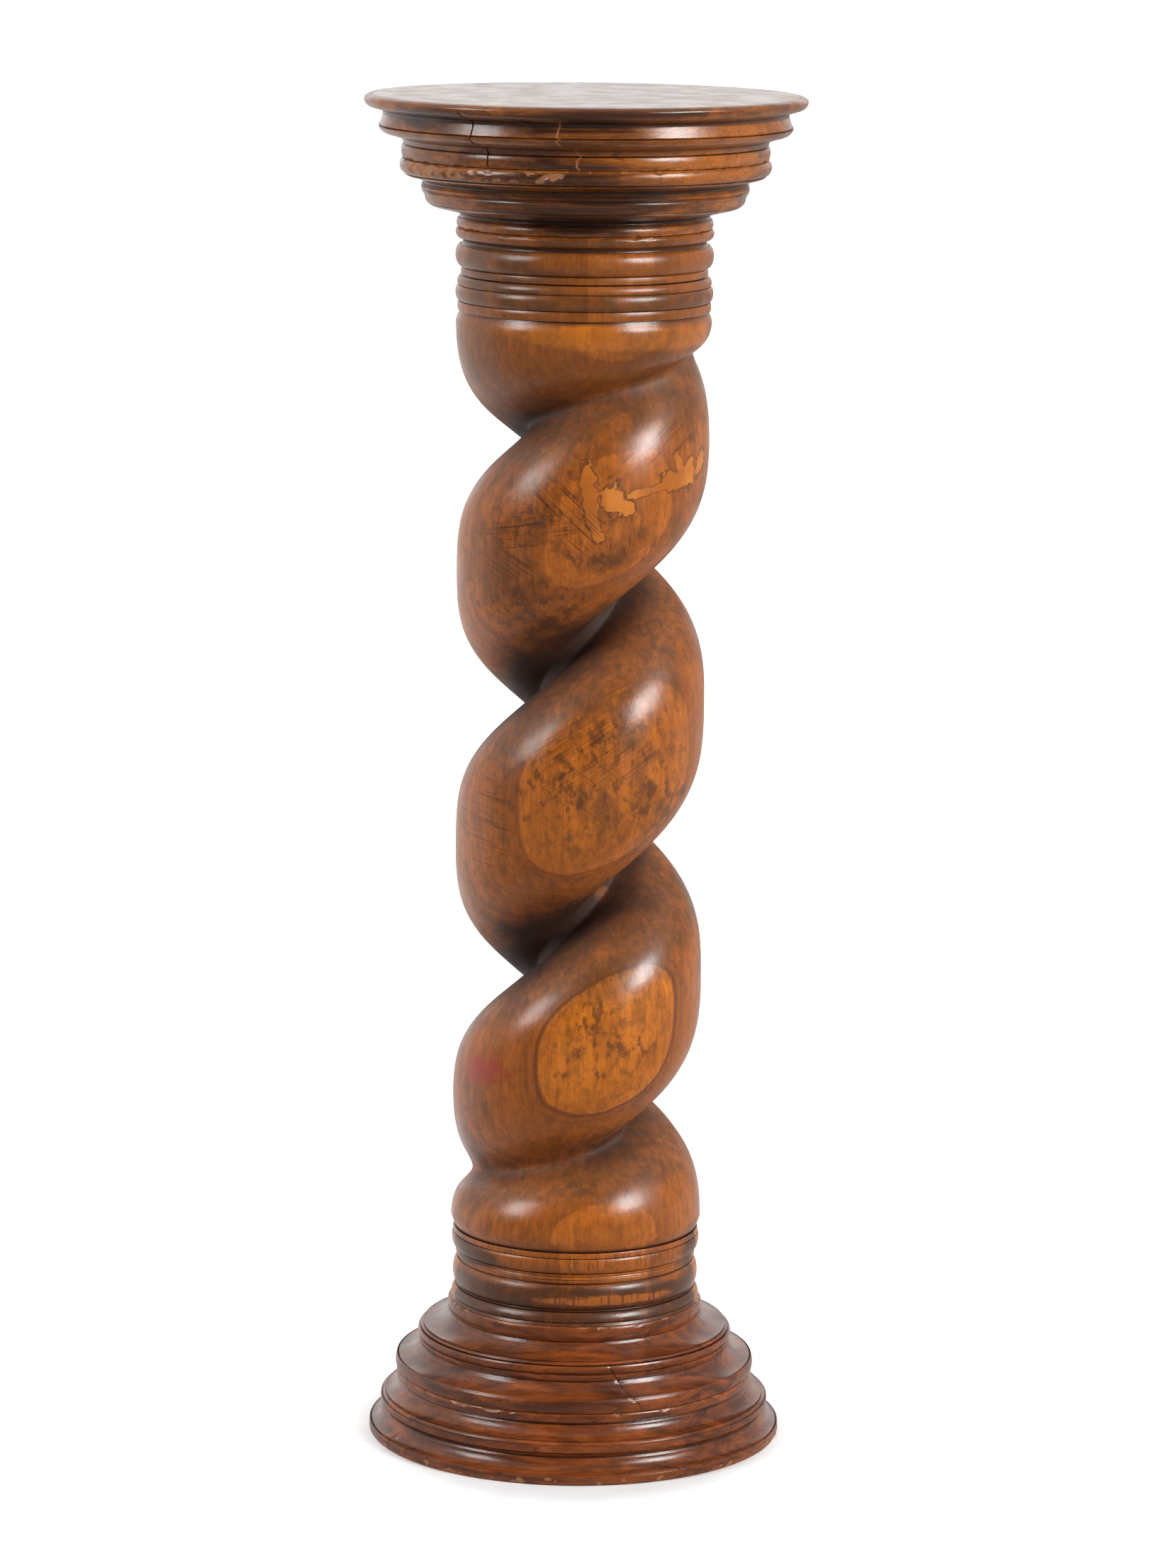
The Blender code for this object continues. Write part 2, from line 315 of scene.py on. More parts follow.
def incised(outline, top, lines):
    """The outline with a narrow V cut into it at each line's height."""
    for below_top, depth in lines:
        height = top - below_top
        half = LINE_WIDTH / 2
        crossing = next((i for i in range(1, len(outline)) if outline[i][1] <= height), None)
        if crossing is None:
            continue
        upper, lower = outline[crossing - 1], outline[crossing]
        share = (upper[1] - height) / max(upper[1] - lower[1], MERGE_DISTANCE)
        radius = upper[0] + (lower[0] - upper[0]) * share
        along = Vector((lower[0] - upper[0], lower[1] - upper[1])).normalized()
        inward = Vector((along.y, -along.x))
        middle = Vector((radius, height))
        before = [point for point in outline[:crossing] if (Vector(point) - middle).length > half]
        after = [point for point in outline[crossing:] if (Vector(point) - middle).length > half]
        cut = [middle - along * half, middle + inward * depth, middle + along * half]
        outline = before + [tuple(point) for point in cut] + after
    return outline


def closed_outline(outline, ring_step):
    """The outline run in to the axis over a flat top and a flat foot."""
    top_radius, top = outline[0]
    foot_radius, foot = outline[-1]
    top_rings = max(1, round(top_radius / ring_step))
    foot_rings = max(1, round(foot_radius / (4 * ring_step)))
    flat_top = [(top_radius * ring / top_rings, top) for ring in range(top_rings)]
    flat_foot = [(foot_radius * (1 - ring / foot_rings), foot) for ring in range(1, foot_rings + 1)]
    return flat_top + outline + flat_foot


# Modelling with Blender's own tools


def start_fresh():
    if bpy.context.object and bpy.context.object.mode != "OBJECT":
        bpy.ops.object.mode_set(mode="OBJECT")
    bpy.ops.object.select_all(action="DESELECT")


def turned_piece(name, outline, sides):
    """Draws the outline from the axis out, down and back to the axis, and spins it into a solid."""
    start_fresh()
    bpy.ops.mesh.primitive_plane_add(size=0.01, location=(0, 0, 0))
    piece = bpy.context.object
    piece.name = piece.data.name = name
    bpy.ops.object.mode_set(mode="EDIT")
    bpy.ops.mesh.select_mode(type="VERT")
    bpy.ops.mesh.select_all(action="SELECT")
    bpy.ops.mesh.merge(type="CENTER")
    bpy.ops.transform.translate(value=(outline[0][0], 0, outline[0][1]))
    for start, end in zip(outline, outline[1:]):
        move = (end[0] - start[0], 0, end[1] - start[1])
        bpy.ops.mesh.extrude_region_move(TRANSFORM_OT_translate={"value": move})
    bpy.ops.mesh.select_all(action="SELECT")
    bpy.ops.mesh.spin(steps=sides, angle=2 * math.pi, center=(0, 0, 0), axis=(0, 0, 1))
    bpy.ops.mesh.select_all(action="SELECT")
    bpy.ops.mesh.remove_doubles(threshold=MERGE_DISTANCE)
    bpy.ops.mesh.normals_make_consistent(inside=False)
    bpy.ops.object.mode_set(mode="OBJECT")
    return piece


class Surface:
    """A turned piece's corners as rows down the outline and columns around the axis."""

    def __init__(self, piece, outline, sides):
        mesh = piece.data
        self.piece = piece
        self.co = np.empty(len(mesh.vertices) * 3)
        mesh.vertices.foreach_get("co", self.co)
        self.co = self.co.reshape(-1, 3)
        ring = KDTree(len(outline))
        for row, (radius, height) in enumerate(outline):
            ring.insert((radius, height, 0), row)
        ring.balance()
        reach = np.hypot(self.co[:, 0], self.co[:, 1])
        self.off_axis = reach > MERGE_DISTANCE
        rows = np.array([ring.find((r, z, 0))[1] for r, z in zip(reach, self.co[:, 2])])
        angle = np.arctan2(self.co[:, 1], self.co[:, 0])
        columns = np.round(angle / (2 * math.pi) * sides).astype(int) % sides
        self.index = np.full((len(outline), sides), -1)
        spots = np.flatnonzero(self.off_axis)
        self.index[rows[spots], columns[spots]] = spots
        self.rows = np.flatnonzero((self.index >= 0).all(axis=1))
        self.index = self.index[self.rows]
        outline = np.array(outline)[self.rows]
        column_angle = 2 * math.pi * np.arange(sides) / sides
        crowded = column_angle - FRONT_CROWDING * np.sin(column_angle - FRONT)
        self.angle = np.tile(crowded, (len(self.rows), 1))
        self.radius = np.repeat(outline[:, :1], sides, axis=1)
        self.height = np.repeat(outline[:, 1:], sides, axis=1)
        self.marks = {}

    def mark(self, name):
        """A value of each corner that the wood's finish reads, 0 to start with."""
        return self.marks.setdefault(name, np.zeros(self.radius.shape))

    def place(self):
        return np.stack([self.radius * np.cos(self.angle), self.radius * np.sin(self.angle),
                         self.height], axis=-1)

    def finish(self):
        """Moves the mesh's corners to the rows and columns, and stores the marks on it."""
        mesh = self.piece.data
        self.co[self.index.ravel()] = self.place().reshape(-1, 3)
        mesh.vertices.foreach_set("co", self.co.ravel())
        for name, values in self.marks.items():
            full = np.zeros(len(mesh.vertices))
            full[self.index.ravel()] = values.ravel()
            layer = mesh.attributes.new(name, "FLOAT", "POINT")
            layer.data.foreach_set("value", full)
        mesh.update()


def rough(points, scale, seed, stretch=(1, 1, 1)):
    """Perlin noise between about -1 and 1 at each point, with features of about 1/scale metres."""
    shift = Vector((seed * 3.7, seed * 1.3, seed * 2.1))
    flat = points.reshape(-1, 3) * (np.array(stretch) * scale)
    values = np.array([noise.noise(Vector(point) + shift) for point in flat])
    return values.reshape(points.shape[:-1])


def ease(value):
    value = np.clip(value, 0, 1)
    return value * value * (3 - 2 * value)


def near(value, middle, spread):
    """1 at the middle, falling to 0 at the spread."""
    return ease(1 - np.abs(value - middle) / spread)


def turned_from(value, middle):
    """Angle from middle, between -pi and pi."""
    return (value - middle + math.pi) % (2 * math.pi) - math.pi


def mark_hollows(surface):
    """Marks how deep each row lies in its mouldings, where wax and grime gather and painted shade is laid,
    and how proud it is.
    """
    radius, height = surface.radius[:, 0], surface.height[:, 0]
    length = np.concatenate([[0], np.cumsum(np.hypot(np.diff(radius), np.diff(height)))])
    even = np.arange(0, length[-1], PROFILE_STEP / 2)
    even_radius = np.interp(even, length, radius)
    even_height = np.interp(even, length, height)
    reach = int(HOLLOW_SPAN / (PROFILE_STEP / 2))
    kernel = np.hanning(2 * reach + 1)
    kernel /= kernel.sum()

    def smoothed(values):
        padded = np.pad(values, reach, mode="edge")
        return np.convolve(padded, kernel, mode="valid")

    smooth_radius, smooth_height = smoothed(even_radius), smoothed(even_height)
    run_radius, run_height = np.gradient(smooth_radius), np.gradient(smooth_height)
    size = np.hypot(run_radius, run_height) + 1e-9
    out_radius, out_height = -run_height / size, run_radius / size
    proud = (even_radius - smooth_radius) * out_radius + (even_height - smooth_height) * out_height
    proud = np.interp(length, even, proud)
    surface.mark("hollow")[:] += np.clip(-proud / FULL_HOLLOW, 0, 1)[:, None]
    surface.mark("proud")[:] += np.clip(proud / FULL_PROUD, 0, 1)[:, None]


def settle(surface, amount, seed):
    """The slight unevenness of old hand-turned wood, always inwards."""
    places = surface.place()
    broad = 0.5 + 0.5 * rough(places, BROAD_WANDER, seed, (1, 1, 0.4))
    fine = 0.5 + 0.5 * rough(places, FINE_WANDER, seed + 1, (1, 1, 2.0))
    surface.radius -= amount * (0.7 * broad + 0.3 * fine) * (surface.radius > STEADY_RADIUS)


def chip_edge(surface, height, reach, depth, seed, coverage, first=-180, last=180):
    """Breaks small pieces out of an edge, between two angles in degrees."""
    places = surface.place()
    flakes = rough(places, CHIP_SCALE, seed, (1, 1, 1.6)) + 0.5 * rough(places, SPLINTER_SCALE, seed + 1)
    lost = ease((flakes - 0.5 + coverage) / CHIP_SOFTNESS) * near(surface.height, height, reach)
    if last - first < 360:
        middle, spread = math.radians((first + last) / 2), math.radians((last - first) / 2)
        lost *= ease((spread - np.abs(turned_from(surface.angle, middle))) / CHIP_FADE_ANGLE + 0.5)
    surface.radius -= depth * lost
    surface.mark("raw")[:] = np.maximum(surface.mark("raw"), lost)


def score(surface, angle_at, low, high, depth, half_width, wander, mark):
    """Pulls the three nearest columns to an upright line between two heights, and sinks its middle."""
    rows = np.flatnonzero((surface.height[:, 0] > low) & (surface.height[:, 0] < high))
    for row in rows:
        height, radius = surface.height[row, 0], surface.radius[row, 0]
        broad = noise.noise(Vector((height * BROAD_STRAY, depth * STRAY_SEED, 0)))
        stray = broad + noise.noise(Vector((height * FINE_STRAY, 5, 0)))
        line = angle_at(radius, height) + wander * stray / radius
        gaps = np.abs(turned_from(surface.angle[row], line))
        middle = int(np.argmin(gaps))
        count = surface.angle.shape[1]
        fade = min(1.0, min(height - low, high - height) / SCORE_FADE + SCORE_END)
        for offset in (-1, 0, 1):
            column = (middle + offset) % count
            surface.angle[row, column] = line + offset * half_width / radius
            surface.mark(mark)[row, column] = 1.0 if offset == 0 else SCORE_EDGE
        surface.radius[row, middle] -= depth * fade


# The twist


def eased_turns(turn, middle, span):
    """Turns climbed once a slope that grows evenly from 0 to 1 over middle +- span has reached turn."""
    share = np.clip((turn - middle + span) / (2 * span), 0, 1)
    return span * share * share + np.maximum(turn - middle - span, 0)


class Twist:
    """The groove that climbs around the log, and the lobe that it leaves."""

    def __init__(self, length, largest_radius):
        self.length = length
        self.largest_radius = largest_radius
        climb = length + GROOVE_OVERRUN - GROOVE_RUNOUT
        self.upper_turn = LOWER_EASE_TURN + climb / TWIST_PITCH

    def crossings(self, angle):
        """Each turn at which the groove can pass an angle."""
        first = math.floor(LOWER_EASE_TURN - LOWER_EASE_SPAN) - 1
        last = math.ceil(self.upper_turn + UPPER_EASE_SPAN) + 1
        share = (angle % (2 * math.pi)) / (2 * math.pi)
        return [share + whole for whole in range(first, last + 1)]

    def groove_height(self, turn):
        started = eased_turns(turn, LOWER_EASE_TURN, LOWER_EASE_SPAN)
        stopped = eased_turns(turn, self.upper_turn, UPPER_EASE_SPAN)
        return GROOVE_RUNOUT + TWIST_PITCH * (started - stopped)

    def strength(self, turn):
        lower = LOWER_EASE_TURN + LOWER_FADE_OFFSET
        upper = self.upper_turn + UPPER_FADE_OFFSET
        fade_in = ease(0.5 + (turn - lower) / (2 * LOWER_FADE_SPAN))
        return fade_in * (1 - ease(0.5 + (turn - upper) / (2 * UPPER_FADE_SPAN)))

    def groove(self, angle, height):
        """Shares of the full depth that the groove over each place and the groove under it give."""
        def drop(reach):
            return 1 - (1 - reach ** LOBE_FULLNESS) ** (1 / LOBE_FULLNESS)

        over_place, under_place = np.zeros(angle.shape), np.zeros(angle.shape)
        for turn in self.crossings(angle):
            bottom = self.groove_height(turn)
            over, under = self.groove_height(turn + 1), self.groove_height(turn - 1)
            free = np.minimum(TWIST_PITCH / 2, self.length - bottom)
            upper_flank = free + ((over - bottom) / 2 - free) * self.strength(turn + 1)
            free = np.minimum(TWIST_PITCH / 2, bottom)
            lower_flank = free + ((bottom - under) / 2 - free) * self.strength(turn - 1)
            raised = ease(0.5 + (height - bottom) / (2 * FLANK_BLEND))
            flank = np.maximum(lower_flank + (upper_flank - lower_flank) * raised, GROOVE_ROUNDING)
            share = 1 - np.hypot(height - bottom, GROOVE_ROUNDING) / flank
            reach = np.clip(share, 0, 1) / (1 + LOBE_OVERLAP)
            depth = self.strength(turn) * drop(reach) / drop(1 / (1 + LOBE_OVERLAP))
            above = height > bottom
            under_place = np.maximum(under_place, np.where(above, depth, 0))
            over_place = np.maximum(over_place, np.where(above, 0, depth))
        return over_place, under_place

    def crowded_heights(self, angle, shares):
        """Heights of the rows at one angle: closer together where they cross a groove."""
        heights = np.linspace(0, self.length, CROWDING_SAMPLES)
        density = np.ones(heights.shape)
        for turn in self.crossings(angle):
            crossing = np.exp(-((heights - self.groove_height(turn)) / ROW_CROWD_REACH) ** 2)
            density += ROW_CROWDING * self.strength(turn) * crossing
        reached = np.concatenate([[0], np.cumsum(0.5 * (density[1:] + density[:-1]))])
        return np.interp(shares * reached[-1], reached, heights)

    def crest(self, height):
        """Radius of the uncarved log: waisted at its middle, and tucked in under the turned rings."""
        from_middle = 2 * height / self.length - 1
        end_inset = np.where(from_middle > 0, COLLAR_CREST_INSET, RINGS_CREST_INSET)
        inset = CREST_INSET + (end_inset - CREST_INSET) * from_middle ** 2
        collar_tuck = COLLAR_TUCK * (1 - ease((self.length - height) / TUCK_HEIGHT))
        rings_tuck = RINGS_TUCK * (1 - ease(height / TUCK_HEIGHT))
        return self.largest_radius - inset - collar_tuck - rings_tuck

    def radius(self, groove, height):
        steepened = groove + FLOOR_STEEPNESS * np.maximum(groove - FLOOR_START, 0)
        over_core = self.crest(height) - GROOVE_DEPTH * steepened - CORE_RADIUS
        return CORE_RADIUS + 0.5 * (over_core + np.hypot(over_core, CORE_ROUNDING))


# Finishes. The places of the marks on the front are patches: x, z, half width and half height in
# metres, and how far their length leans up to the right, in degrees.

CLEAR_SAPWOOD = ((0.02, 0.374, 0.12, 0.1, 0),)
COLLAR_BAND = ((0.045, 0.998, 0.11, 0.0105, -2),)
DARK_RINGS = (
    (0, 0.138, 0.3, 0.0215, 0), (0.125, 0.175, 0.03, 0.03, 0),
    (-0.105, 0.175, 0.04, 0.012, 0),
)
COLLAR_STAINS = (
    (-0.075, 1.05, 0.05, 0.03, 0), (0, 1.028, 0.2, 0.008, 0),
    (0.015, 1.08, 0.07, 0.005, 0),
)
PALE_FLAKES = (
    (0.006, 0.864, 0.007, 0.026, 6), (0.027, 0.859, 0.0105, 0.014, 0),
    (0.056, 0.866, 0.02, 0.0035, 14), (0.078, 0.873, 0.008, 0.01, 60),
    (0.014, 0.829, 0.005, 0.009, 30), (0.04, 0.852, 0.006, 0.006, 40),
    (0.0925, 0.879, 0.005, 0.014, -6), (0.084, 0.886, 0.003, 0.011, 10),
    (0.101, 0.883, 0.003, 0.012, -12),
)
SMUDGES = (
    (0.018, 0.645, 0.04, 0.022, 20), (0, 0.59, 0.03, 0.03, 0),
    (0.02, 0.385, 0.03, 0.03, 0), (-0.03, 0.855, 0.045, 0.03, 30),
    (0.02, 0.82, 0.04, 0.02, 0), (0.05, 0.665, 0.025, 0.012, 0),
    (0.056, 0.374, 0.012, 0.014, 30), (-0.04, 0.76, 0.04, 0.03, 20),
    (0.01, 0.352, 0.03, 0.008, 10), (-0.03, 0.61, 0.04, 0.03, 0),
    (0.06, 0.61, 0.03, 0.04, 20),
)
TOP_STAINS = (
    (-0.035, 1.185, 0.075, 0.01, 0), (-0.13, 1.185, 0.04, 0.008, 0),
    (-0.02, 1.15, 0.05, 0.006, 0), (0.05, 1.1955, 0.08, 0.003, 0),
)
# Painted highlights where the softboxes light the capital's mouldings on the right
TOP_PAINTED_HIGHLIGHTS = (
    (0.1, 1.156, 0.08, 0.015, 0), (0.005, 1.156, 0.03, 0.006, 0),
    (0.12, 1.18, 0.07, 0.009, 0),
)
NECK_STAINS = (
    (0, 1.102, 0.085, 0.015, 0), (0.015, 1.12, 0.06, 0.008, 0),
    (-0.06, 1.118, 0.05, 0.006, 0), (-0.02, 1.138, 0.07, 0.005, 0),
)
# Painted highlights on the neck's beads where the softboxes light them
NECK_PAINTED_HIGHLIGHTS = (
    (0.08, 1.139, 0.07, 0.006, 0), (0.095, 1.093, 0.05, 0.01, 0),
    (-0.095, 1.095, 0.03, 0.008, 0),
)
RED_STAIN = ((-0.082, 0.348, 0.019, 0.0125, 10),)
PLUG = ((0.0467, 0.77, 0.006, 0.0056, 0),)
TORN_WOOD = ((0.025, 0.5, 0.013, 0.007, 50),)
WORN_RING = ((0.03, 0.146, 0.056, 0.0042, 0),)
STREAKED_RING = ((0.025, 0.18, 0.066, 0.0085, 0),)

# Scratches: the patch that they fill, how far they lean up to the right in degrees, and strength

SCRATCHES = (
    ((-0.014, 0.843, 0.038, 0.021, -40), -43, 0.7),
    ((-0.048, 0.83, 0.04, 0.02, 0), 10, 0.6),
    ((0.01, 0.635, 0.055, 0.033, 0), 33, 0.42),
    ((0.01, 0.6, 0.05, 0.03, 0), -38, 0.26),
    ((0.065, 0.905, 0.03, 0.015, 20), 42, 0.6),
    ((-0.065, 0.805, 0.025, 0.02, 0), -30, 0.5),
    ((-0.085, 0.57, 0.025, 0.05, 0), -8, 0.5),
)
SCRATCH_LENGTH = 17
SCRATCH_FINENESS = 640
RELIEF_DEPTH = 0.0006

# A patch reaches through the front half of the piece: nothing that far away is inside one

FLAT = 1000.0
BEYOND = 9.0


class Nodes:
    """A node tree whose nodes are added and joined by short calls."""

    def __init__(self, tree):
        self.tree = tree

    def add(self, kind, inputs=None, **settings):
        """Adds a node, sets it, and joins or fills its inputs."""
        node = self.tree.nodes.new("ShaderNode" + kind)
        for name, value in settings.items():
            setattr(node, name, value)
        self.fill(node, inputs or {})
        return node

    def fill(self, node, inputs):
        """Joins each input, by its name or number, to another node or sets it to a value or colour."""
        for name, value in inputs.items():
            socket = node.inputs[name]
            if isinstance(value, bpy.types.NodeSocket):
                self.tree.links.new(value, socket)
            elif socket.type == "RGBA":
                socket.default_value = (*value, 1.0)
            else:
                socket.default_value = value

    def math(self, operation, first, second, clamp=False):
        return self.add("Math", {0: first, 1: second}, operation=operation, use_clamp=clamp).outputs[0]

    def product(self, *values):
        result = values[0]
        for value in values[1:]:
            result = self.math("MULTIPLY", result, value)
        return result

    def total(self, *values):
        result = values[0]
        for value in values[1:]:
            result = self.math("ADD", result, value)
        return result

    def swing(self, value, amount):
        """A value about 0.5 turned into one about 0, and scaled."""
        return self.product(self.math("SUBTRACT", value, 0.5), amount)

    def between(self, value, low, high, first=0.0, last=1.0, way="SMOOTHSTEP"):
        """Runs smoothly from first to last as the value goes from low to high."""
        inputs = {"Value": value, "From Min": low, "From Max": high, "To Min": first, "To Max": last}
        return self.add("MapRange", inputs, interpolation_type=way).outputs["Result"]

    def stripe(self, value, low, full, last_full, high):
        """1 between two values, and down to 0 on both sides."""
        return self.product(self.between(value, low, full), self.between(value, high, last_full))


class Finish(Nodes):
    """A material whose colour is laid on in layers."""

    def __init__(self, name):
        self.material = bpy.data.materials.new(name)
        self.material.use_nodes = True
        super().__init__(self.material.node_tree)
        self.shader = self.tree.nodes["Principled BSDF"]
        self.object_place = self.add("TexCoord").outputs["Object"]
        self.axes = self.add("SeparateXYZ", {0: self.object_place}).outputs

    def mark(self, name):
        return self.add("Attribute", attribute_name=name).outputs["Fac"]

    def blend(self, share, first, second):
        inputs = {"Factor": share, 6: first, 7: second}
        return self.add("Mix", inputs, data_type="RGBA").outputs[2]

    def paint(self, colour, *shares):
        """Lays a colour over those before it, as thickly as the product of the shares."""
        self.colour = self.blend(self.product(*shares), self.colour, colour)

    def tone(self, amount):
        """Makes the colour so far lighter or darker."""
        self.colour = self.add("VectorMath", {0: self.colour, "Scale": amount}, operation="SCALE").outputs[0]

    def mapped(self, scale, location=(0, 0, 0), rotation=(0, 0, 0), way="POINT"):
        inputs = {"Vector": self.object_place, "Location": location, "Rotation": rotation, "Scale": scale}
        return self.add("Mapping", inputs, vector_type=way).outputs[0]

    def grain(self, scale, detail=3.0, roughness=0.55, distortion=0.0, **turned):
        """Noise with about this many features to the metre along each axis."""
        inputs = {"Vector": self.mapped(scale, **turned), "Scale": 1.0, "Detail": detail,
                  "Roughness": roughness, "Distortion": distortion}
        return self.add("TexNoise", inputs).outputs["Fac"]

    def along(self, value, scale, detail, roughness):
        """Noise along one value, such as the distance from the pith."""
        inputs = {"W": value, "Scale": scale, "Detail": detail, "Roughness": roughness}
        return self.add("TexNoise", inputs, noise_dimensions="1D").outputs["Fac"]

    def field(self, patches, raggedness, scale):
        """Below 1 inside the patches on the front and above 1 outside, with an edge that wanders."""
        nearest = BEYOND
        for x, z, half_width, half_height, tilt in patches:
            turned = (0, math.radians(-tilt), 0)
            share = self.mapped((half_width, FLAT, half_height), (x, 0, z), turned, "TEXTURE")
            away = self.add("VectorMath", {0: share}, operation="LENGTH").outputs["Value"]
            nearest = self.math("MINIMUM", nearest, away)
        on_back = self.between(self.axes["Y"], -0.03, 0.0, 0.0, BEYOND)
        return self.total(nearest, on_back, self.swing(self.grain(scale, 5.0, 0.62), 2 * raggedness))

    def region(self, patches, raggedness, scale, softness):
        """1 inside the patches on the front and 0 outside."""
        return self.between(self.field(patches, raggedness, scale), 1 + softness / 2, 1 - softness / 2)

    def strokes(self, tilt, low, high):
        """Fine straight scratches on the front that lean up to the right."""
        turned, scale = (0, math.radians(-tilt), 0), (1 / SCRATCH_LENGTH, FLAT, 1 / SCRATCH_FINENESS)
        return self.between(self.grain(scale, 2.0, 0.5, rotation=turned, way="TEXTURE"), low, high)

    def polish(self, roughness, relief, strength, coat, coat_roughness):
        """Joins the colour, the gloss and the fine relief to the shader."""
        bump = self.add("Bump", {"Height": relief, "Strength": strength, "Distance": RELIEF_DEPTH})
        self.fill(self.shader, {
            "Base Color": self.colour, "Roughness": roughness, "Normal": bump.outputs[0],
            "Coat Weight": coat, "Coat Roughness": coat_roughness,
        })
        return self.material


def shaft_finish(wood):
    """Polished log: growth rings about the pith, paler sapwood, fibres, wax in the hollows and wear."""
    f = Finish("shaft_polished_wood")
    x, z = f.axes["X"], f.axes["Z"]
    hollow, ledge, turned, growth = (f.mark(name) for name in ("hollow", "ledge", "turned", "growth"))
    clouds = f.grain((16, 16, 12), 5.0, 0.62)
    mottling = f.grain((60, 60, 45), 5.0, 0.68)
    grit = f.grain((260, 260, 170), 4.0, 0.7)
    freckles = f.grain((150, 150, 110), 3.0, 0.6)
    fibres = f.grain((900, 900, 26), 4.0, 0.62)
    streaks = f.grain((190, 190, 9), 4.0, 0.6)
    pores = f.grain((1500, 1500, 95), 2.0, 0.5)
    rubbed = f.grain((30, 30, 20), 4.0, 0.6)
    upright_marks = f.between(f.grain((420, 420, 40), 3.0, 0.6), 0.50, 0.60)
    cloudy = f.total(clouds, f.swing(mottling, 0.5))

    # Heartwood and sapwood, with the dark rings between them and the grain of both
    ring = f.total(growth, f.swing(f.grain((16, 16, 8)), 0.0055))
    clear = f.product(f.region(CLEAR_SAPWOOD, 0.15, (20, 20, 20), 0.3), 0.66)
    low = f.product(f.between(z, 0.72, 0.62, 0.04, 0.26), f.between(z, 0.23, 0.30, 0.20, 1.0))
    shown = f.total(clear, low)
    heart = f.blend(f.between(f.along(ring, 110, 4.0, 0.6), 0.30, 0.70), wood.heart_dark, wood.heart_light)
    sap = f.blend(f.between(clouds, 0.40, 0.62), wood.sap_dark, wood.sap_light)
    f.colour = f.blend(f.product(f.between(ring, -0.0004, 0.0006), shown), heart, sap)
    fine_rings = f.between(f.along(ring, 520, 3.0, 0.65), 0.34, 0.66, 0.93, 1.06)
    fibre_tone = f.between(fibres, 0.30, 0.70, 0.84, 1.13)
    f.tone(f.product(fine_rings, fibre_tone, f.between(streaks, 0.32, 0.68, 0.86, 1.12)))
    edge = f.product(f.stripe(ring, -0.0013, -0.0003, 0.0001, 0.0009), 0.70)
    second_edge = f.product(f.stripe(ring, -0.0044, -0.0034, -0.0034, -0.0024), 0.28)
    f.paint(wood.ring_line, f.math("ADD", edge, second_edge, True), shown)
    f.paint(wood.sap_light, f.region(COLLAR_BAND, 0.55, (30, 30, 70), 0.5), 0.8)

    # Old wax and handling, thickest on the upper flanks of the lobes
    f.paint(wood.patina, f.between(cloudy, 0.50, 0.66), f.between(grit, 0.40, 0.62, 0.54, 0.30))
    f.paint(wood.patina, f.between(z, 0.90, 0.95, 0.0, 0.42), f.between(mottling, 0.62, 0.44, 0.5, 1.0))
    flank = f.between(f.total(ledge, f.swing(cloudy, 0.22)), 0.005, 0.10, 0.0, 0.90)
    worn_through = f.product(f.between(mottling, 0.42, 0.60, 1.0, 0.42),
                             f.between(streaks, 0.36, 0.64, 1.0, 0.70))
    f.paint(wood.patina, flank, worn_through)
    f.paint(wood.patina, f.between(freckles, 0.48, 0.64), 0.28)

    # Stains and wear on the turned rings
    f.paint(wood.ring_stain, f.region(DARK_RINGS, 0.40, (30, 30, 120), 0.5),
            f.between(mottling, 0.62, 0.50, 0.76, 0.97))
    f.paint(wood.patina, f.region(COLLAR_STAINS, 0.40, (30, 30, 120), 0.8),
            f.between(mottling, 0.60, 0.46, 0.50, 0.85))
    f.paint(wood.heart_light, f.region(WORN_RING, 0.9, (40, 40, 160), 0.5),
            f.between(upright_marks, 0.0, 1.0, 0.85, 0.2))
    f.paint(wood.smudge, f.region(STREAKED_RING, 0.7, (40, 40, 120), 0.5), upright_marks, 0.60)

    # The groove, from its sides darkened by grime and painted shade to the checked wood at its core, and the
    # turned lines, darkened by wax and painted shade
    # Painted shade and grime: darker the deeper the groove, and darker towards the left
    dirt_and_shade = f.total(f.total(hollow, f.swing(cloudy, 0.5)), f.product(f.between(x, 0.055, -0.055), 0.16))
    f.paint(wood.hollow, f.between(dirt_and_shade, 0.22, 0.62, 0.0, 0.94))
    checks = f.between(f.grain((240, 240, 14), 3.0, 0.6), 0.44, 0.58, 0.0, 0.75)
    at_core = f.between(f.total(hollow, f.swing(mottling, 0.25)), 0.74, 0.90)
    f.paint(f.blend(checks, wood.core, wood.hollow), at_core)
    f.paint(wood.heart_light, f.region(TORN_WOOD, 1.1, (120, 120, 40), 0.5),
            f.between(hollow, 0.5, 0.7), 0.50)
    # Painted shade and wax in the turned lines of the collar and the rings
    f.paint(wood.hollow, f.between(turned, 0.06, 0.50, 0.0, 0.95))

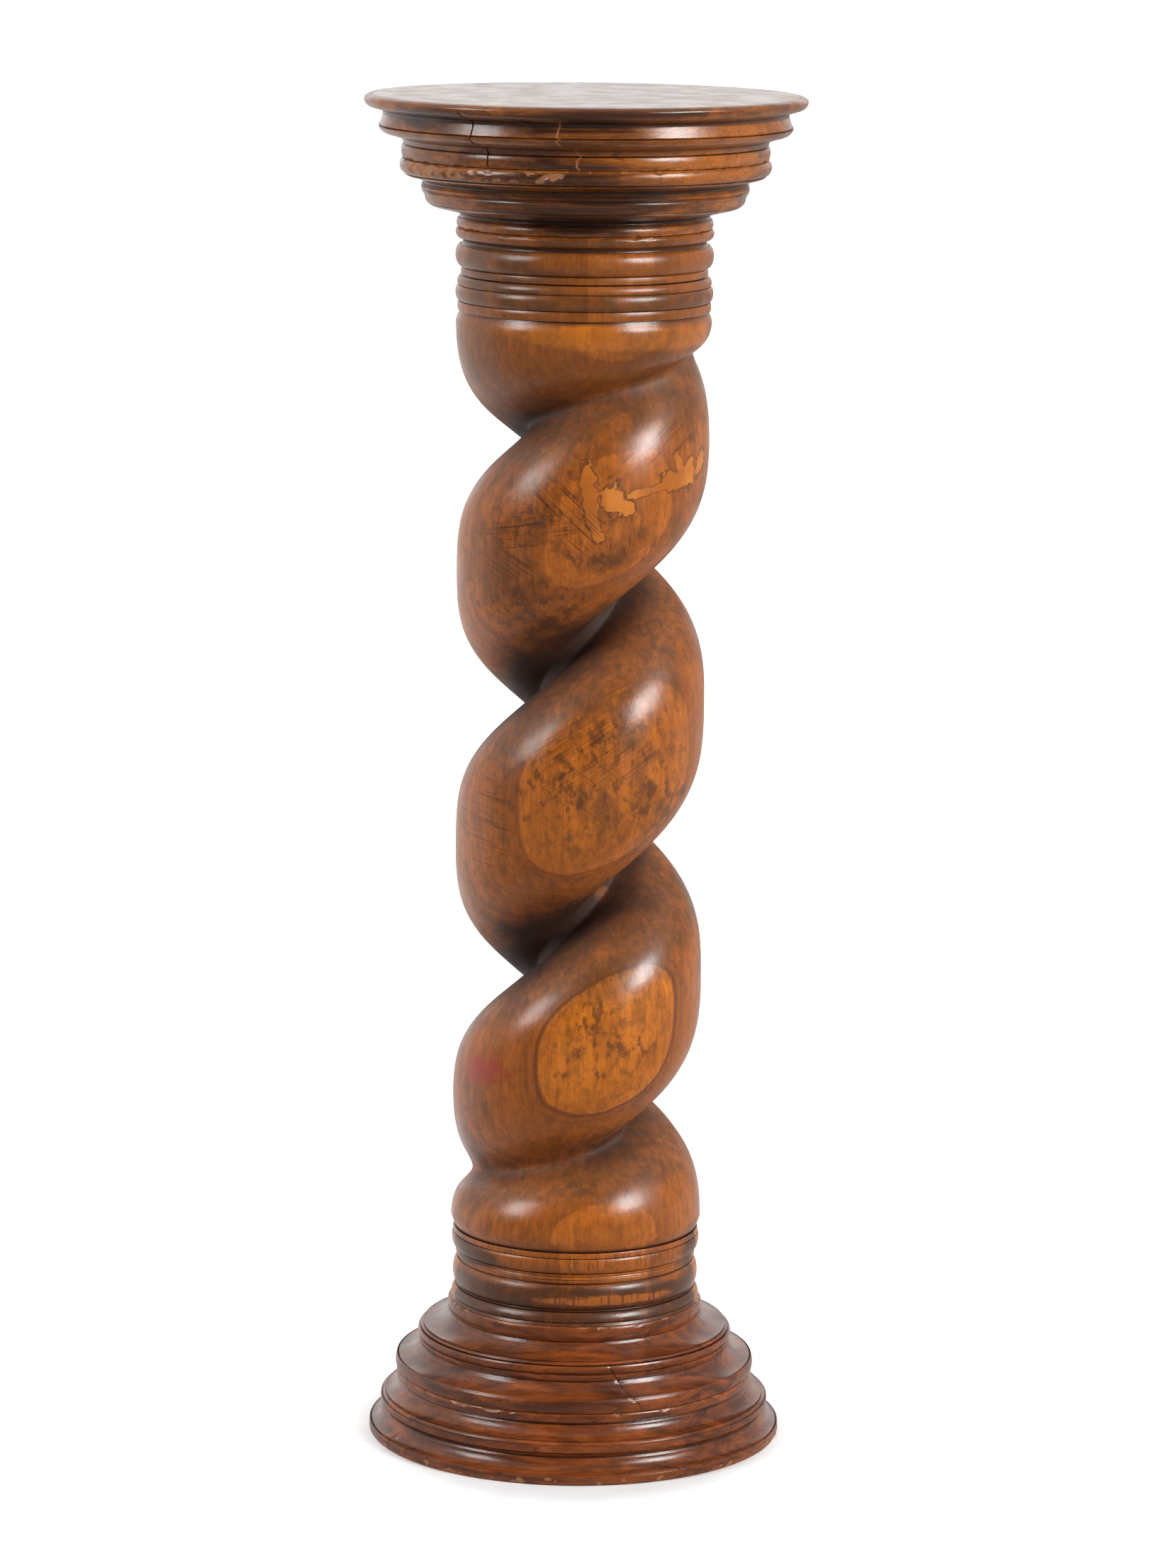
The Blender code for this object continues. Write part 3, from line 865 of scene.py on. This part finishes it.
    # Single marks: the plug, smudges, specks, flaked polish, the red stain, scratches and pores
    plug = f.field(PLUG, 0.12, (200, 200, 200))
    f.paint(wood.heart_dark, f.between(plug, 1.0, 0.9, 0.0, 0.8))
    f.paint(wood.hollow, f.stripe(plug, 0.72, 0.92, 1.02, 1.22))
    blots = f.total(f.product(mottling, 0.5), f.product(freckles, 0.5))
    f.paint(wood.smudge, f.region(SMUDGES, 1.3, (45, 45, 45), 0.9), f.between(blots, 0.48, 0.58), 0.66)
    f.paint(wood.smudge, f.between(grit, 0.58, 0.68), f.between(cloudy, 0.42, 0.56), 0.40)
    flaked = f.field(PALE_FLAKES, 1.20, (95, 95, 95))
    flakes = f.between(flaked, 1.05, 0.95)
    f.paint(f.blend(f.between(clouds, 0.42, 0.60), wood.sap_dark, wood.flake), flakes, 0.90)
    f.paint(wood.smudge, f.stripe(flaked, 0.92, 1.04, 1.06, 1.30), 0.80)
    f.paint(wood.red_stain, f.region(RED_STAIN, 1.0, (70, 70, 70), 0.9),
            f.between(mottling, 0.36, 0.56, 0.55, 0.95))
    for patch, tilt, strength in SCRATCHES:
        inside = f.region((patch,), 0.5, (60, 60, 60), 0.6)
        f.paint(wood.hollow, inside, f.strokes(tilt, 0.560, 0.605), strength)
    f.paint(wood.hollow, f.between(pores, 0.64, 0.74), 0.40)

    dirty = f.product(f.between(hollow, 0.04, 0.30, 0.0, 0.36), f.between(hollow, 0.97, 0.82, 0.6, 1.0))
    roughness = f.total(f.between(rubbed, 0.35, 0.65, 0.23, 0.35), f.product(flakes, 0.06), dirty)
    relief = f.total(f.product(fibres, 0.5), f.product(mottling, 0.9))
    return f.polish(roughness, relief, 0.32, f.between(hollow, 0.02, 0.22, 0.08, 0.0), 0.14)


def board_finish(name, tones, grain_turn, dark_patches, light_patches):
    """Stained and polished boards: grain across the block, wax and painted shade in the hollows, wear and
    painted highlight on the edges, painted highlights on lit patches and a painted reflection on the top
    face.
    """
    f = Finish(name)
    light, dark, wax, worn, dust = tones
    hollow, proud, top_face = (f.mark(name) for name in ("hollow", "proud", "dust"))
    turned = (0, 0, grain_turn)
    figure = f.grain((5, 30, 70), 5.0, 0.6, 1.2, rotation=turned)
    fibres = f.grain((30, 620, 900), 4.0, 0.6, rotation=turned)
    scratches = f.grain((16, 300, 60), 3.0, 0.6, rotation=(0, 0, grain_turn + SCRATCH_TURN))
    clouds = f.grain((12, 12, 40), 5.0, 0.62)
    mottling = f.grain((55, 55, 240), 4.0, 0.65)
    rubbed = f.grain((30, 30, 50), 4.0, 0.6)

    # The stained boards and their grain, with painted highlights on lit patches, stains and wax
    share = f.between(f.total(f.product(figure, 0.6), f.product(clouds, 0.4)), 0.36, 0.64)
    f.colour = f.blend(share, dark, light)
    # Painted highlights: the light tone laid on the lit patches
    if light_patches:
        f.paint(light, f.region(light_patches, 0.7, (14, 14, 90), 0.9),
                f.between(figure, 0.34, 0.62, 0.5, 1.0))
    f.tone(f.between(fibres, 0.30, 0.70, 0.76, 1.18))
    if dark_patches:
        f.paint(wax, f.region(dark_patches, 0.8, (14, 14, 110), 0.9),
                f.between(figure, 0.62, 0.42, 0.38, 0.82))
    f.paint(wax, f.between(f.total(clouds, f.product(mottling, 0.4)), 0.66, 0.84), 0.55)

    # Worn edges with painted highlight, scratches, wax and painted shade in the hollows, chips, joints and
    # cracks, and the painted reflection and scratches of the top face
    # Proud edges lighter: wear, and painted highlight along the moulding edges
    f.paint(light, f.between(proud, 0.20, 0.90), f.between(mottling, 0.36, 0.56, 0.25, 0.60))
    f.paint(worn, f.between(proud, 0.45, 1.0), 0.12)
    f.paint(wax, f.between(scratches, 0.60, 0.70, 0.0, 0.55))
    # Painted shade and wax: darker the deeper the hollow of the moulding
    f.paint(wax, f.between(hollow, 0.06, 0.50, 0.0, 0.96))
    raw = f.between(f.total(f.mark("raw"), f.swing(mottling, 0.8)), 0.35, 0.65)
    f.paint(worn, raw, 0.75)
    f.paint(worn, f.between(f.mark("filler"), 0.3, 0.8, 0.0, 0.95))
    f.paint(wax, f.between(f.mark("crack"), 0.3, 0.9))
    # Painted reflection: the top face greyed and lightened as by the room's reflection at a low angle
    f.paint(dust, top_face, f.between(figure, 0.36, 0.64, 0.78, 0.45))
    f.paint(wax, top_face, f.between(scratches, 0.56, 0.64), 0.8)

    dulled = f.total(f.product(hollow, 0.08), f.product(raw, 0.25))
    roughness = f.total(f.between(rubbed, 0.35, 0.65, 0.19, 0.31), dulled)
    relief = f.total(f.product(fibres, 0.5), f.product(mottling, 0.7))
    return f.polish(roughness, relief, 0.30, 0.08, 0.10)


# Sizes and colours that a user would change


def colour_value(name, description, default):
    return bpy.props.FloatVectorProperty(name=name, description=description, subtype="COLOR", size=3,
                                         min=0, max=1, default=default)


class PedestalWoods(bpy.types.PropertyGroup):
    heart_light: colour_value("Heartwood light", "Light bands of the shaft's heartwood", (0.5, 0.136, 0.017))
    heart_dark: colour_value("Heartwood dark", "Dark bands of the shaft's heartwood", (0.35, 0.094, 0.012))
    sap_light: colour_value("Sapwood light", "Light bands of the shaft's sapwood", (0.74, 0.212, 0.017))
    sap_dark: colour_value("Sapwood dark", "Dark bands of the shaft's sapwood", (0.47, 0.13, 0.012))
    ring_line: colour_value("Ring line", "Dark ring between heartwood and sapwood", (0.13, 0.03, 0.01))
    patina: colour_value("Patina", "Old wax and handling on the shaft", (0.125, 0.046, 0.013))
    smudge: colour_value("Smudges", "Dark rubbed smudges on the shaft", (0.115, 0.04, 0.014))
    flake: colour_value("Flakes", "Patches where the old polish flaked off", (0.72, 0.225, 0.024))
    red_stain: colour_value("Red stain", "Stain on the left of the lowest lobe", (0.4, 0.048, 0.022))
    ring_stain: colour_value("Ring stain", "Stain on the turned rings of the shaft", (0.085, 0.028, 0.01))
    core: colour_value("Core", "Wood that shows at the bottom of the groove", (0.19, 0.064, 0.026))
    # Hollows colour: grime and wax, and also painted shade deep in the groove and the turned lines
    hollow: colour_value("Hollows", "Dirt and wax at the bottom of the groove", (0.03, 0.01, 0.006))
    # The light tones of the capital and the base are also laid as painted highlight on proud edges, the
    # capital's also on its lit patches
    capital_light: colour_value("Capital light", "Orange side of the capital", (0.44, 0.132, 0.018))
    capital_dark: colour_value("Capital dark", "Stained side of the capital", (0.145, 0.045, 0.015))
    base_light: colour_value("Base light", "Light bands of the base", (0.37, 0.088, 0.015))
    base_dark: colour_value("Base dark", "Dark bands of the base", (0.08, 0.022, 0.009))
    # Turned hollows colour: dark wax, also laid as painted shade in the hollows of the mouldings
    turned_hollow: colour_value("Turned hollows", "Dark wax in the turned lines", (0.022, 0.01, 0.008))
    worn: colour_value("Worn edges", "Wood where the stain has worn off", (0.42, 0.18, 0.065))
    # Painted reflection on the top face, a whitish grey
    dust: colour_value("Dust", "Dulled polish on the top face", (0.34, 0.26, 0.22))


class PedestalWear(bpy.types.PropertyGroup):
    unevenness: bpy.props.FloatProperty(
        name="Unevenness", description="How far the turned faces wander inwards", default=0.0005,
        min=0, max=0.002, unit="LENGTH", precision=4)
    chip_depth: bpy.props.FloatProperty(
        name="Chip depth", description="Depth of the chips along the worn edges", default=0.0016,
        min=0, max=0.004, unit="LENGTH", precision=4)


class PedestalStage(bpy.types.PropertyGroup):
    floor_size: bpy.props.FloatProperty(
        name="Floor size", description="Side of the square floor", default=120.0, min=2, unit="LENGTH")
    floor_glow: bpy.props.FloatProperty(
        name="Floor glow", description="Light added to the seen floor by the pedestal", default=0.08, min=0,
        max=2)
    floor_bounce: bpy.props.FloatProperty(
        name="Floor bounce", description="Light that the floor behind sends up", default=0.72, min=0, max=2)
    camera_distance: bpy.props.FloatProperty(
        name="Camera distance", description="From the pedestal's axis to the lens", default=4.984,
        min=1, unit="LENGTH")
    camera_height: bpy.props.FloatProperty(
        name="Camera height", description="Height of the lens above the floor", default=1.499,
        min=0.1, unit="LENGTH")
    lens: bpy.props.FloatProperty(
        name="Lens", description="Focal length on a 36 mm wide sensor", default=130.96, min=20,
        unit="CAMERA")
    key_power: bpy.props.FloatProperty(
        name="Right softbox", description="Power of the softbox on the right", default=340.0, min=0,
        unit="POWER")
    fill_power: bpy.props.FloatProperty(
        name="Left softbox", description="Power of the softbox on the left", default=170.0, min=0,
        unit="POWER")


# The turned blocks. A chip's edge is given by an end of the block and its height above that end;
# then come its reach, its share of the full chip depth, its seed, its coverage and its angles in
# degrees. A joint is given by its board offset, its end below the top, depth, half width and wander.

Block = namedtuple("Block", (
    "shoulder", "mouldings", "lines", "seed", "chips", "slot", "tones", "finish", "grain",
    "joints", "cracks", "top_line", "dark_patches", "light_patches",
), defaults=((), (), False, (), ()))
CAPITAL_TONES = ("capital_light", "capital_dark", "turned_hollow", "worn", "dust")
BASE_TONES = ("base_light", "base_dark", "turned_hollow", "worn", "dust")
BLOCKS = {
    "upper_capital_block": Block(
        0.0065, UPPER_CAPITAL_MOULDINGS, UPPER_CAPITAL_LINES, 1,
        (("foot", 0, 0.0030, 1, 11, 0.30),),
        "capital_wood", CAPITAL_TONES, "capital_boards", 8,
        joints=((BOARD_OFFSETS[0], 0.006, 0.0012, 0.0008, 0.0010, "crack"),
                (BOARD_OFFSETS[1], 0.010, -0.0003, 0.0011, 0.0022, "filler")),
        top_line=True, dark_patches=TOP_STAINS, light_patches=TOP_PAINTED_HIGHLIGHTS),
    "lower_capital_block": Block(
        0.0032, LOWER_CAPITAL_MOULDINGS, LOWER_CAPITAL_LINES, 4,
        (("top", 0, 0.0035, 1, 21, 0.35), ("top", -0.006, 0.009, 1, 23, 0.56, -160, -95),
         ("foot", 0, 0.0030, 1, 25, 0.38)),
        "capital_wood", CAPITAL_TONES, "capital_block", -6,
        dark_patches=NECK_STAINS, light_patches=NECK_PAINTED_HIGHLIGHTS),
    "upper_base_block": Block(
        0.0486, UPPER_BASE_MOULDINGS, UPPER_BASE_LINES, 41,
        (("top", 0, 0.0030, 1, 51, 0.34),),
        "base_wood", BASE_TONES, "upper_base_block_boards", 12, cracks=UPPER_BASE_CRACKS),
    "lower_base_block": Block(
        0.0260, LOWER_BASE_MOULDINGS, LOWER_BASE_LINES, 46,
        (("top", 0, 0.0030, 1, 52, 0.34), ("top", 0, 0.0040, 1, 61, 0.62, -172, -118),
         ("foot", 0.004, 0.006, 1 / 3, 63, 0.26)),
        "base_wood", BASE_TONES, "lower_base_block_boards", -20, cracks=LOWER_BASE_CRACKS),
}


def put_on(piece, material, node):
    """Gives a finished piece its wood and its body, and hides the CAD node that it stands for."""
    piece.data.materials.clear()
    piece.data.materials.append(material)
    start_fresh()
    piece.select_set(True)
    bpy.context.view_layer.objects.active = piece
    bpy.ops.object.shade_smooth_by_angle(angle=CREASE_ANGLE)
    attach(piece, BODY)
    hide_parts(node)


def block_outline(block, largest, top, foot):
    """Outline of a block on the CAD node's own radius and height, with its incised lines."""
    outline = moulding_outline(largest, block.shoulder, top, block.mouldings)
    outline[-1] = (outline[-1][0], foot)
    outline = incised(outline, top, block.lines)
    if block.top_line:
        outer, inner = TOP_LINE_RADIUS + LINE_WIDTH / 2, TOP_LINE_RADIUS - LINE_WIDTH / 2
        cut = [(inner, top), (TOP_LINE_RADIUS, top - TOP_LINE_DEPTH), (outer, top - TOP_LINE_RISE)]
        outline = cut + [point for point in outline if point[0] > outer or point[1] < top - LIP_HEIGHT]
    return closed_outline(outline, TOP_RING_STEP)


def board_line(offset, radius):
    """Angle at which the joint plane y = x - offset leaves a circle on the left of the front."""
    share = min(max(offset / (math.sqrt(2) * radius), -1.0), 1.0)
    return math.radians(-45) - math.acos(share)


def make_block(context, node):
    """Turns a block, wears and cracks it, and gives it its stained boards."""
    wear, wood = context.scene.pedestal_wear, context.scene.pedestal_woods
    block, top, foot = BLOCKS[node], node_top(node), node_foot(node)
    outline = block_outline(block, node_radius(node), top, foot)
    surface = Surface(turned_piece(node + "_turned", outline, BLOCK_SIDES), outline, BLOCK_SIDES)
    mark_hollows(surface)
    settle(surface, wear.unevenness, block.seed)
    for end, above, reach, share, *rest in block.chips:
        edge = (top if end == "top" else foot) + above
        chip_edge(surface, edge, reach, wear.chip_depth * share, *rest)
    for offset, below_top, *cut in block.joints:
        score(surface, lambda radius, height: board_line(offset, radius), foot, top - below_top, *cut)
    for heights, angles, depth in block.cracks:
        score(surface, lambda radius, height: math.radians(np.interp(height, heights, angles)),
              heights[0], heights[-1], depth, CRACK_HALF_WIDTH, CRACK_WANDER, "crack")
    surface.mark("crack")
    if block.top_line:
        # Marks the top face inside the incised ring for the painted reflection and its scratches
        on_top = surface.height > top - TOP_LINE_DEPTH
        surface.mark("dust")[:] = on_top & (surface.radius < TOP_LINE_RADIUS)
    surface.finish()
    tones = [getattr(wood, tone) for tone in block.tones]
    material = board_finish(block.finish, tones, math.radians(block.grain), block.dark_patches,
                            block.light_patches)
    put_on(surface.piece, material, node)


class PEDESTAL_OT_upper_capital(bpy.types.Operator):
    """Turns the round top and the two mouldings under it, with the joints of its boards"""
    bl_idname = "pedestal.upper_capital"
    bl_label = "Upper capital block"

    def execute(self, context):
        make_block(context, "upper_capital_block")
        return {"FINISHED"}


class PEDESTAL_OT_lower_capital(bpy.types.Operator):
    """Turns the worn bead, the third moulding and the neck"""
    bl_idname = "pedestal.lower_capital"
    bl_label = "Lower capital block"

    def execute(self, context):
        make_block(context, "lower_capital_block")
        return {"FINISHED"}


class PEDESTAL_OT_base(bpy.types.Operator):
    """Turns the two blocks of the base"""
    bl_idname = "pedestal.base"
    bl_label = "Base blocks"

    def execute(self, context):
        for node in ("upper_base_block", "lower_base_block"):
            make_block(context, node)
        return {"FINISHED"}


def mark_growth(surface, in_twist):
    """Marks how far out each place lies from the sapwood's inner ring, measured from the pith."""
    radius = np.where(in_twist, surface.radius, RING_DEPTH_RADIUS)
    x, y = radius * np.cos(surface.angle), radius * np.sin(surface.angle)
    start = np.full(radius.shape, SAPWOOD_STATIONS[0][1])
    for (low, low_start), (high, high_start) in zip(SAPWOOD_STATIONS, SAPWOOD_STATIONS[1:]):
        step = ease((surface.height - low) / (high - low))
        start += (high_start - low_start) * step
    surface.mark("growth")[:] = np.hypot(x - PITH[0], y - PITH[1]) - start


class PEDESTAL_OT_shaft(bpy.types.Operator):
    """Turns the log with its collar and rings, and carves the twist into it"""
    bl_idname = "pedestal.shaft"
    bl_label = "Twisted shaft"

    def execute(self, context):
        wear, wood = context.scene.pedestal_wear, context.scene.pedestal_woods
        node = "twisted_shaft"
        top, foot, largest = node_top(node), node_foot(node), node_radius(node)
        collar = incised(moulding_outline(largest, COLLAR_SHOULDER, top, COLLAR_MOULDINGS), top,
                         COLLAR_LINES)
        twist_top = collar[-1][1]
        twist_foot = foot + sum(moulding[1] for moulding in RINGS_MOULDINGS)
        rings = incised(moulding_outline(largest, RINGS_SHOULDER, twist_foot, RINGS_MOULDINGS),
                        twist_foot, RINGS_LINES)
        log = straight_run((largest, twist_top), (largest, twist_foot), TWIST_ROWS)[:-1]
        outline = closed_outline(collar + log + rings, 2 * TOP_RING_STEP)
        surface = Surface(turned_piece(node + "_carved", outline, SHAFT_SIDES), outline, SHAFT_SIDES)

        mark_hollows(surface)
        twist = Twist(twist_top - twist_foot, largest)
        half_row = twist.length / TWIST_ROWS / 2
        in_twist = (surface.height < twist_top - half_row) & (surface.height > twist_foot + half_row)
        twist_rows = np.flatnonzero(in_twist[:, 0])
        shares = (surface.height[twist_rows, 0] - twist_foot) / twist.length
        for column, angle in enumerate(surface.angle[0]):
            surface.height[twist_rows, column] = twist_foot + twist.crowded_heights(angle, shares)
        height = surface.height - twist_foot
        over_place, under_place = twist.groove(surface.angle, height)
        groove = np.maximum(over_place, under_place)
        surface.radius = np.where(in_twist, twist.radius(groove, height), surface.radius)
        surface.mark("turned")[:] = np.where(in_twist, 0, surface.mark("hollow"))
        surface.mark("hollow")[:] = np.where(in_twist, groove, 0)
        surface.mark("ledge")[:] = np.where(in_twist, over_place, 0)
        surface.mark("proud")[:] *= ~in_twist
        mark_growth(surface, in_twist)
        settle(surface, wear.unevenness, 7)
        chip_edge(surface, top, 0.0030, wear.chip_depth, 31, 0.30)
        surface.finish()
        put_on(surface.piece, shaft_finish(wood), node)
        return {"FINISHED"}


# The stage. A softbox is given by its name, its azimuth from the camera's side and its elevation in
# degrees, its width and height, and the setting that holds its power.

PEDESTAL_MIDDLE = Vector((0, 0, 0.66))
LIGHT_DISTANCE = 6.0
SOFTBOXES = (
    ("right_softbox", 54, 24, (2.33, 2.30), "key_power"),
    ("left_softbox", -64, 27, (2.10, 2.70), "fill_power"),
)
WHITE = (1, 1, 1)
DARK_PAPER = (0.78, 0.78, 0.78)
LIGHT_PAPER = (0.82, 0.82, 0.82)
UNSEEN_PAPER = (0.22, 0.21, 0.20)
SHADOW_SHAPE = (1.0, 0.75, 1.0)
CAMERA_PITCH = math.radians(-10.325)
CAMERA_ROLL = math.radians(0.579)
CAMERA_SIDE = 0.0075


def softbox(name, azimuth, elevation, size, power):
    """An area light aimed at the middle of the pedestal."""
    across, up = math.radians(azimuth), math.radians(elevation)
    direction = Vector((math.cos(up) * math.sin(across), -math.cos(up) * math.cos(across), math.sin(up)))
    bpy.ops.object.light_add(type="AREA", location=PEDESTAL_MIDDLE + LIGHT_DISTANCE * direction,
                             rotation=direction.to_track_quat("Z", "Y").to_euler())
    light = bpy.context.object
    light.name = name
    light.data.shape = "RECTANGLE"
    light.data.size, light.data.size_y = size
    light.data.energy = power


def paper_finish(stage):
    """White paper: it glows to the camera, but for the contact shadow, and sends light up from behind."""
    paper = Finish("white_paper")
    seen = paper.add("LightPath").outputs["Is Camera Ray"]
    speckle = paper.between(paper.grain((40, 40, 40)), 0.3, 0.7)
    tone = paper.blend(seen, UNSEEN_PAPER, paper.blend(speckle, DARK_PAPER, LIGHT_PAPER))
    flattened = paper.add("VectorMath", {0: paper.object_place, 1: SHADOW_SHAPE}, operation="MULTIPLY")
    away = paper.add("VectorMath", {0: flattened.outputs[0]}, operation="LENGTH").outputs["Value"]
    seen_glow = paper.between(away, 0.15, 0.25, stage.floor_glow, 1.0)
    bounce = paper.product(paper.between(paper.axes["Y"], -0.6, 0.5, 0.02, stage.floor_bounce),
                           paper.between(paper.axes["X"], -0.4, 0.8, 1.0, 0.5))
    unseen = paper.math("SUBTRACT", 1.0, seen)
    paper.fill(paper.shader, {
        "Base Color": tone, "Roughness": 0.9, "Specular IOR Level": 0.1, "Emission Color": WHITE,
        "Emission Strength": paper.total(paper.product(seen, seen_glow), paper.product(unseen, bounce)),
    })
    return paper.material


def light_room(world):
    """White to the camera; to everything else bright behind and at the sides and dark in front."""
    world.use_nodes = True
    room = Nodes(world.node_tree)
    backdrop, output = room.tree.nodes["Background"], room.tree.nodes["World Output"]
    room.fill(backdrop, {"Color": WHITE})
    axes = room.add("SeparateXYZ", {0: room.add("TexCoord").outputs["Generated"]}).outputs
    fade = room.between(axes["Y"], -0.60, 0.20, 0.10, 1.02)
    sides = room.between(axes["X"], -0.6, 0.8, 1.0, 0.55, "LINEAR")
    behind = room.between(axes["Y"], 0.78, 0.97, 1.0, 1.75)
    walls = room.add("Background", {"Strength": room.product(fade, sides, behind)})
    seen = room.add("LightPath").outputs["Is Camera Ray"]
    choice = room.add("MixShader", {"Fac": seen, 1: walls.outputs[0], 2: backdrop.outputs[0]})
    room.fill(output, {"Surface": choice.outputs[0]})


def place_camera(stage):
    forward = Vector((0, math.cos(CAMERA_PITCH), math.sin(CAMERA_PITCH)))
    upward = Vector((0, -math.sin(CAMERA_PITCH), math.cos(CAMERA_PITCH)))
    sideways = Vector((1, 0, 0))
    right = math.cos(CAMERA_ROLL) * sideways + math.sin(CAMERA_ROLL) * upward
    top = math.cos(CAMERA_ROLL) * upward - math.sin(CAMERA_ROLL) * sideways
    bpy.ops.object.camera_add(location=(0, 0, 0))
    camera = bpy.context.object
    camera.name = "photo_camera"
    camera.matrix_world = Matrix((
        (right.x, top.x, -forward.x, CAMERA_SIDE),
        (right.y, top.y, -forward.y, -stage.camera_distance),
        (right.z, top.z, -forward.z, stage.camera_height),
        (0, 0, 0, 1),
    ))
    camera.data.lens = stage.lens
    bpy.context.scene.camera = camera


class PEDESTAL_OT_stage(bpy.types.Operator):
    """Adds the pale floor, the studio light and the camera"""
    bl_idname = "pedestal.stage"
    bl_label = "Stage"

    def execute(self, context):
        stage = context.scene.pedestal_stage
        start_fresh()
        bpy.ops.mesh.primitive_plane_add(size=stage.floor_size, location=(0, 0, 0))
        floor = context.object
        floor.name = floor.data.name = "floor"
        floor.data.materials.append(paper_finish(stage))
        for name, azimuth, elevation, size, power in SOFTBOXES:
            softbox(name, azimuth, elevation, size, getattr(stage, power))
        context.scene.world = bpy.data.worlds.new("studio")
        light_room(context.scene.world)
        place_camera(stage)
        context.scene.view_settings.view_transform = "Standard"
        return {"FINISHED"}


class PEDESTAL_PT_panel(bpy.types.Panel):
    """Lists the pieces of the pedestal and their settings"""
    bl_idname = "PEDESTAL_PT_panel"
    bl_label = "Carved wood pedestal"
    bl_space_type = "VIEW_3D"
    bl_region_type = "UI"
    bl_category = "Pedestal"

    def draw(self, context):
        for operator in PIECES:
            self.layout.operator(operator.bl_idname)
        for name, group in SETTINGS.items():
            box = self.layout.box()
            for setting in group.__annotations__:
                box.prop(getattr(context.scene, name), setting)


PIECES = (
    PEDESTAL_OT_upper_capital,
    PEDESTAL_OT_lower_capital,
    PEDESTAL_OT_shaft,
    PEDESTAL_OT_base,
    PEDESTAL_OT_stage,
)
SETTINGS = {
    "pedestal_woods": PedestalWoods,
    "pedestal_wear": PedestalWear,
    "pedestal_stage": PedestalStage,
}


def register():
    for group in (*SETTINGS.values(), *PIECES, PEDESTAL_PT_panel):
        bpy.utils.register_class(group)
    for name, group in SETTINGS.items():
        setattr(bpy.types.Scene, name, bpy.props.PointerProperty(type=group))


def unregister():
    for name in SETTINGS:
        delattr(bpy.types.Scene, name)
    for group in (PEDESTAL_PT_panel, *PIECES[::-1], *reversed(SETTINGS.values())):
        bpy.utils.unregister_class(group)


def main():
    register()
    bpy.ops.pedestal.upper_capital()
    bpy.ops.pedestal.lower_capital()
    bpy.ops.pedestal.shaft()
    bpy.ops.pedestal.base()
    bpy.ops.pedestal.stage()


if __name__ == "__main__":
    main()
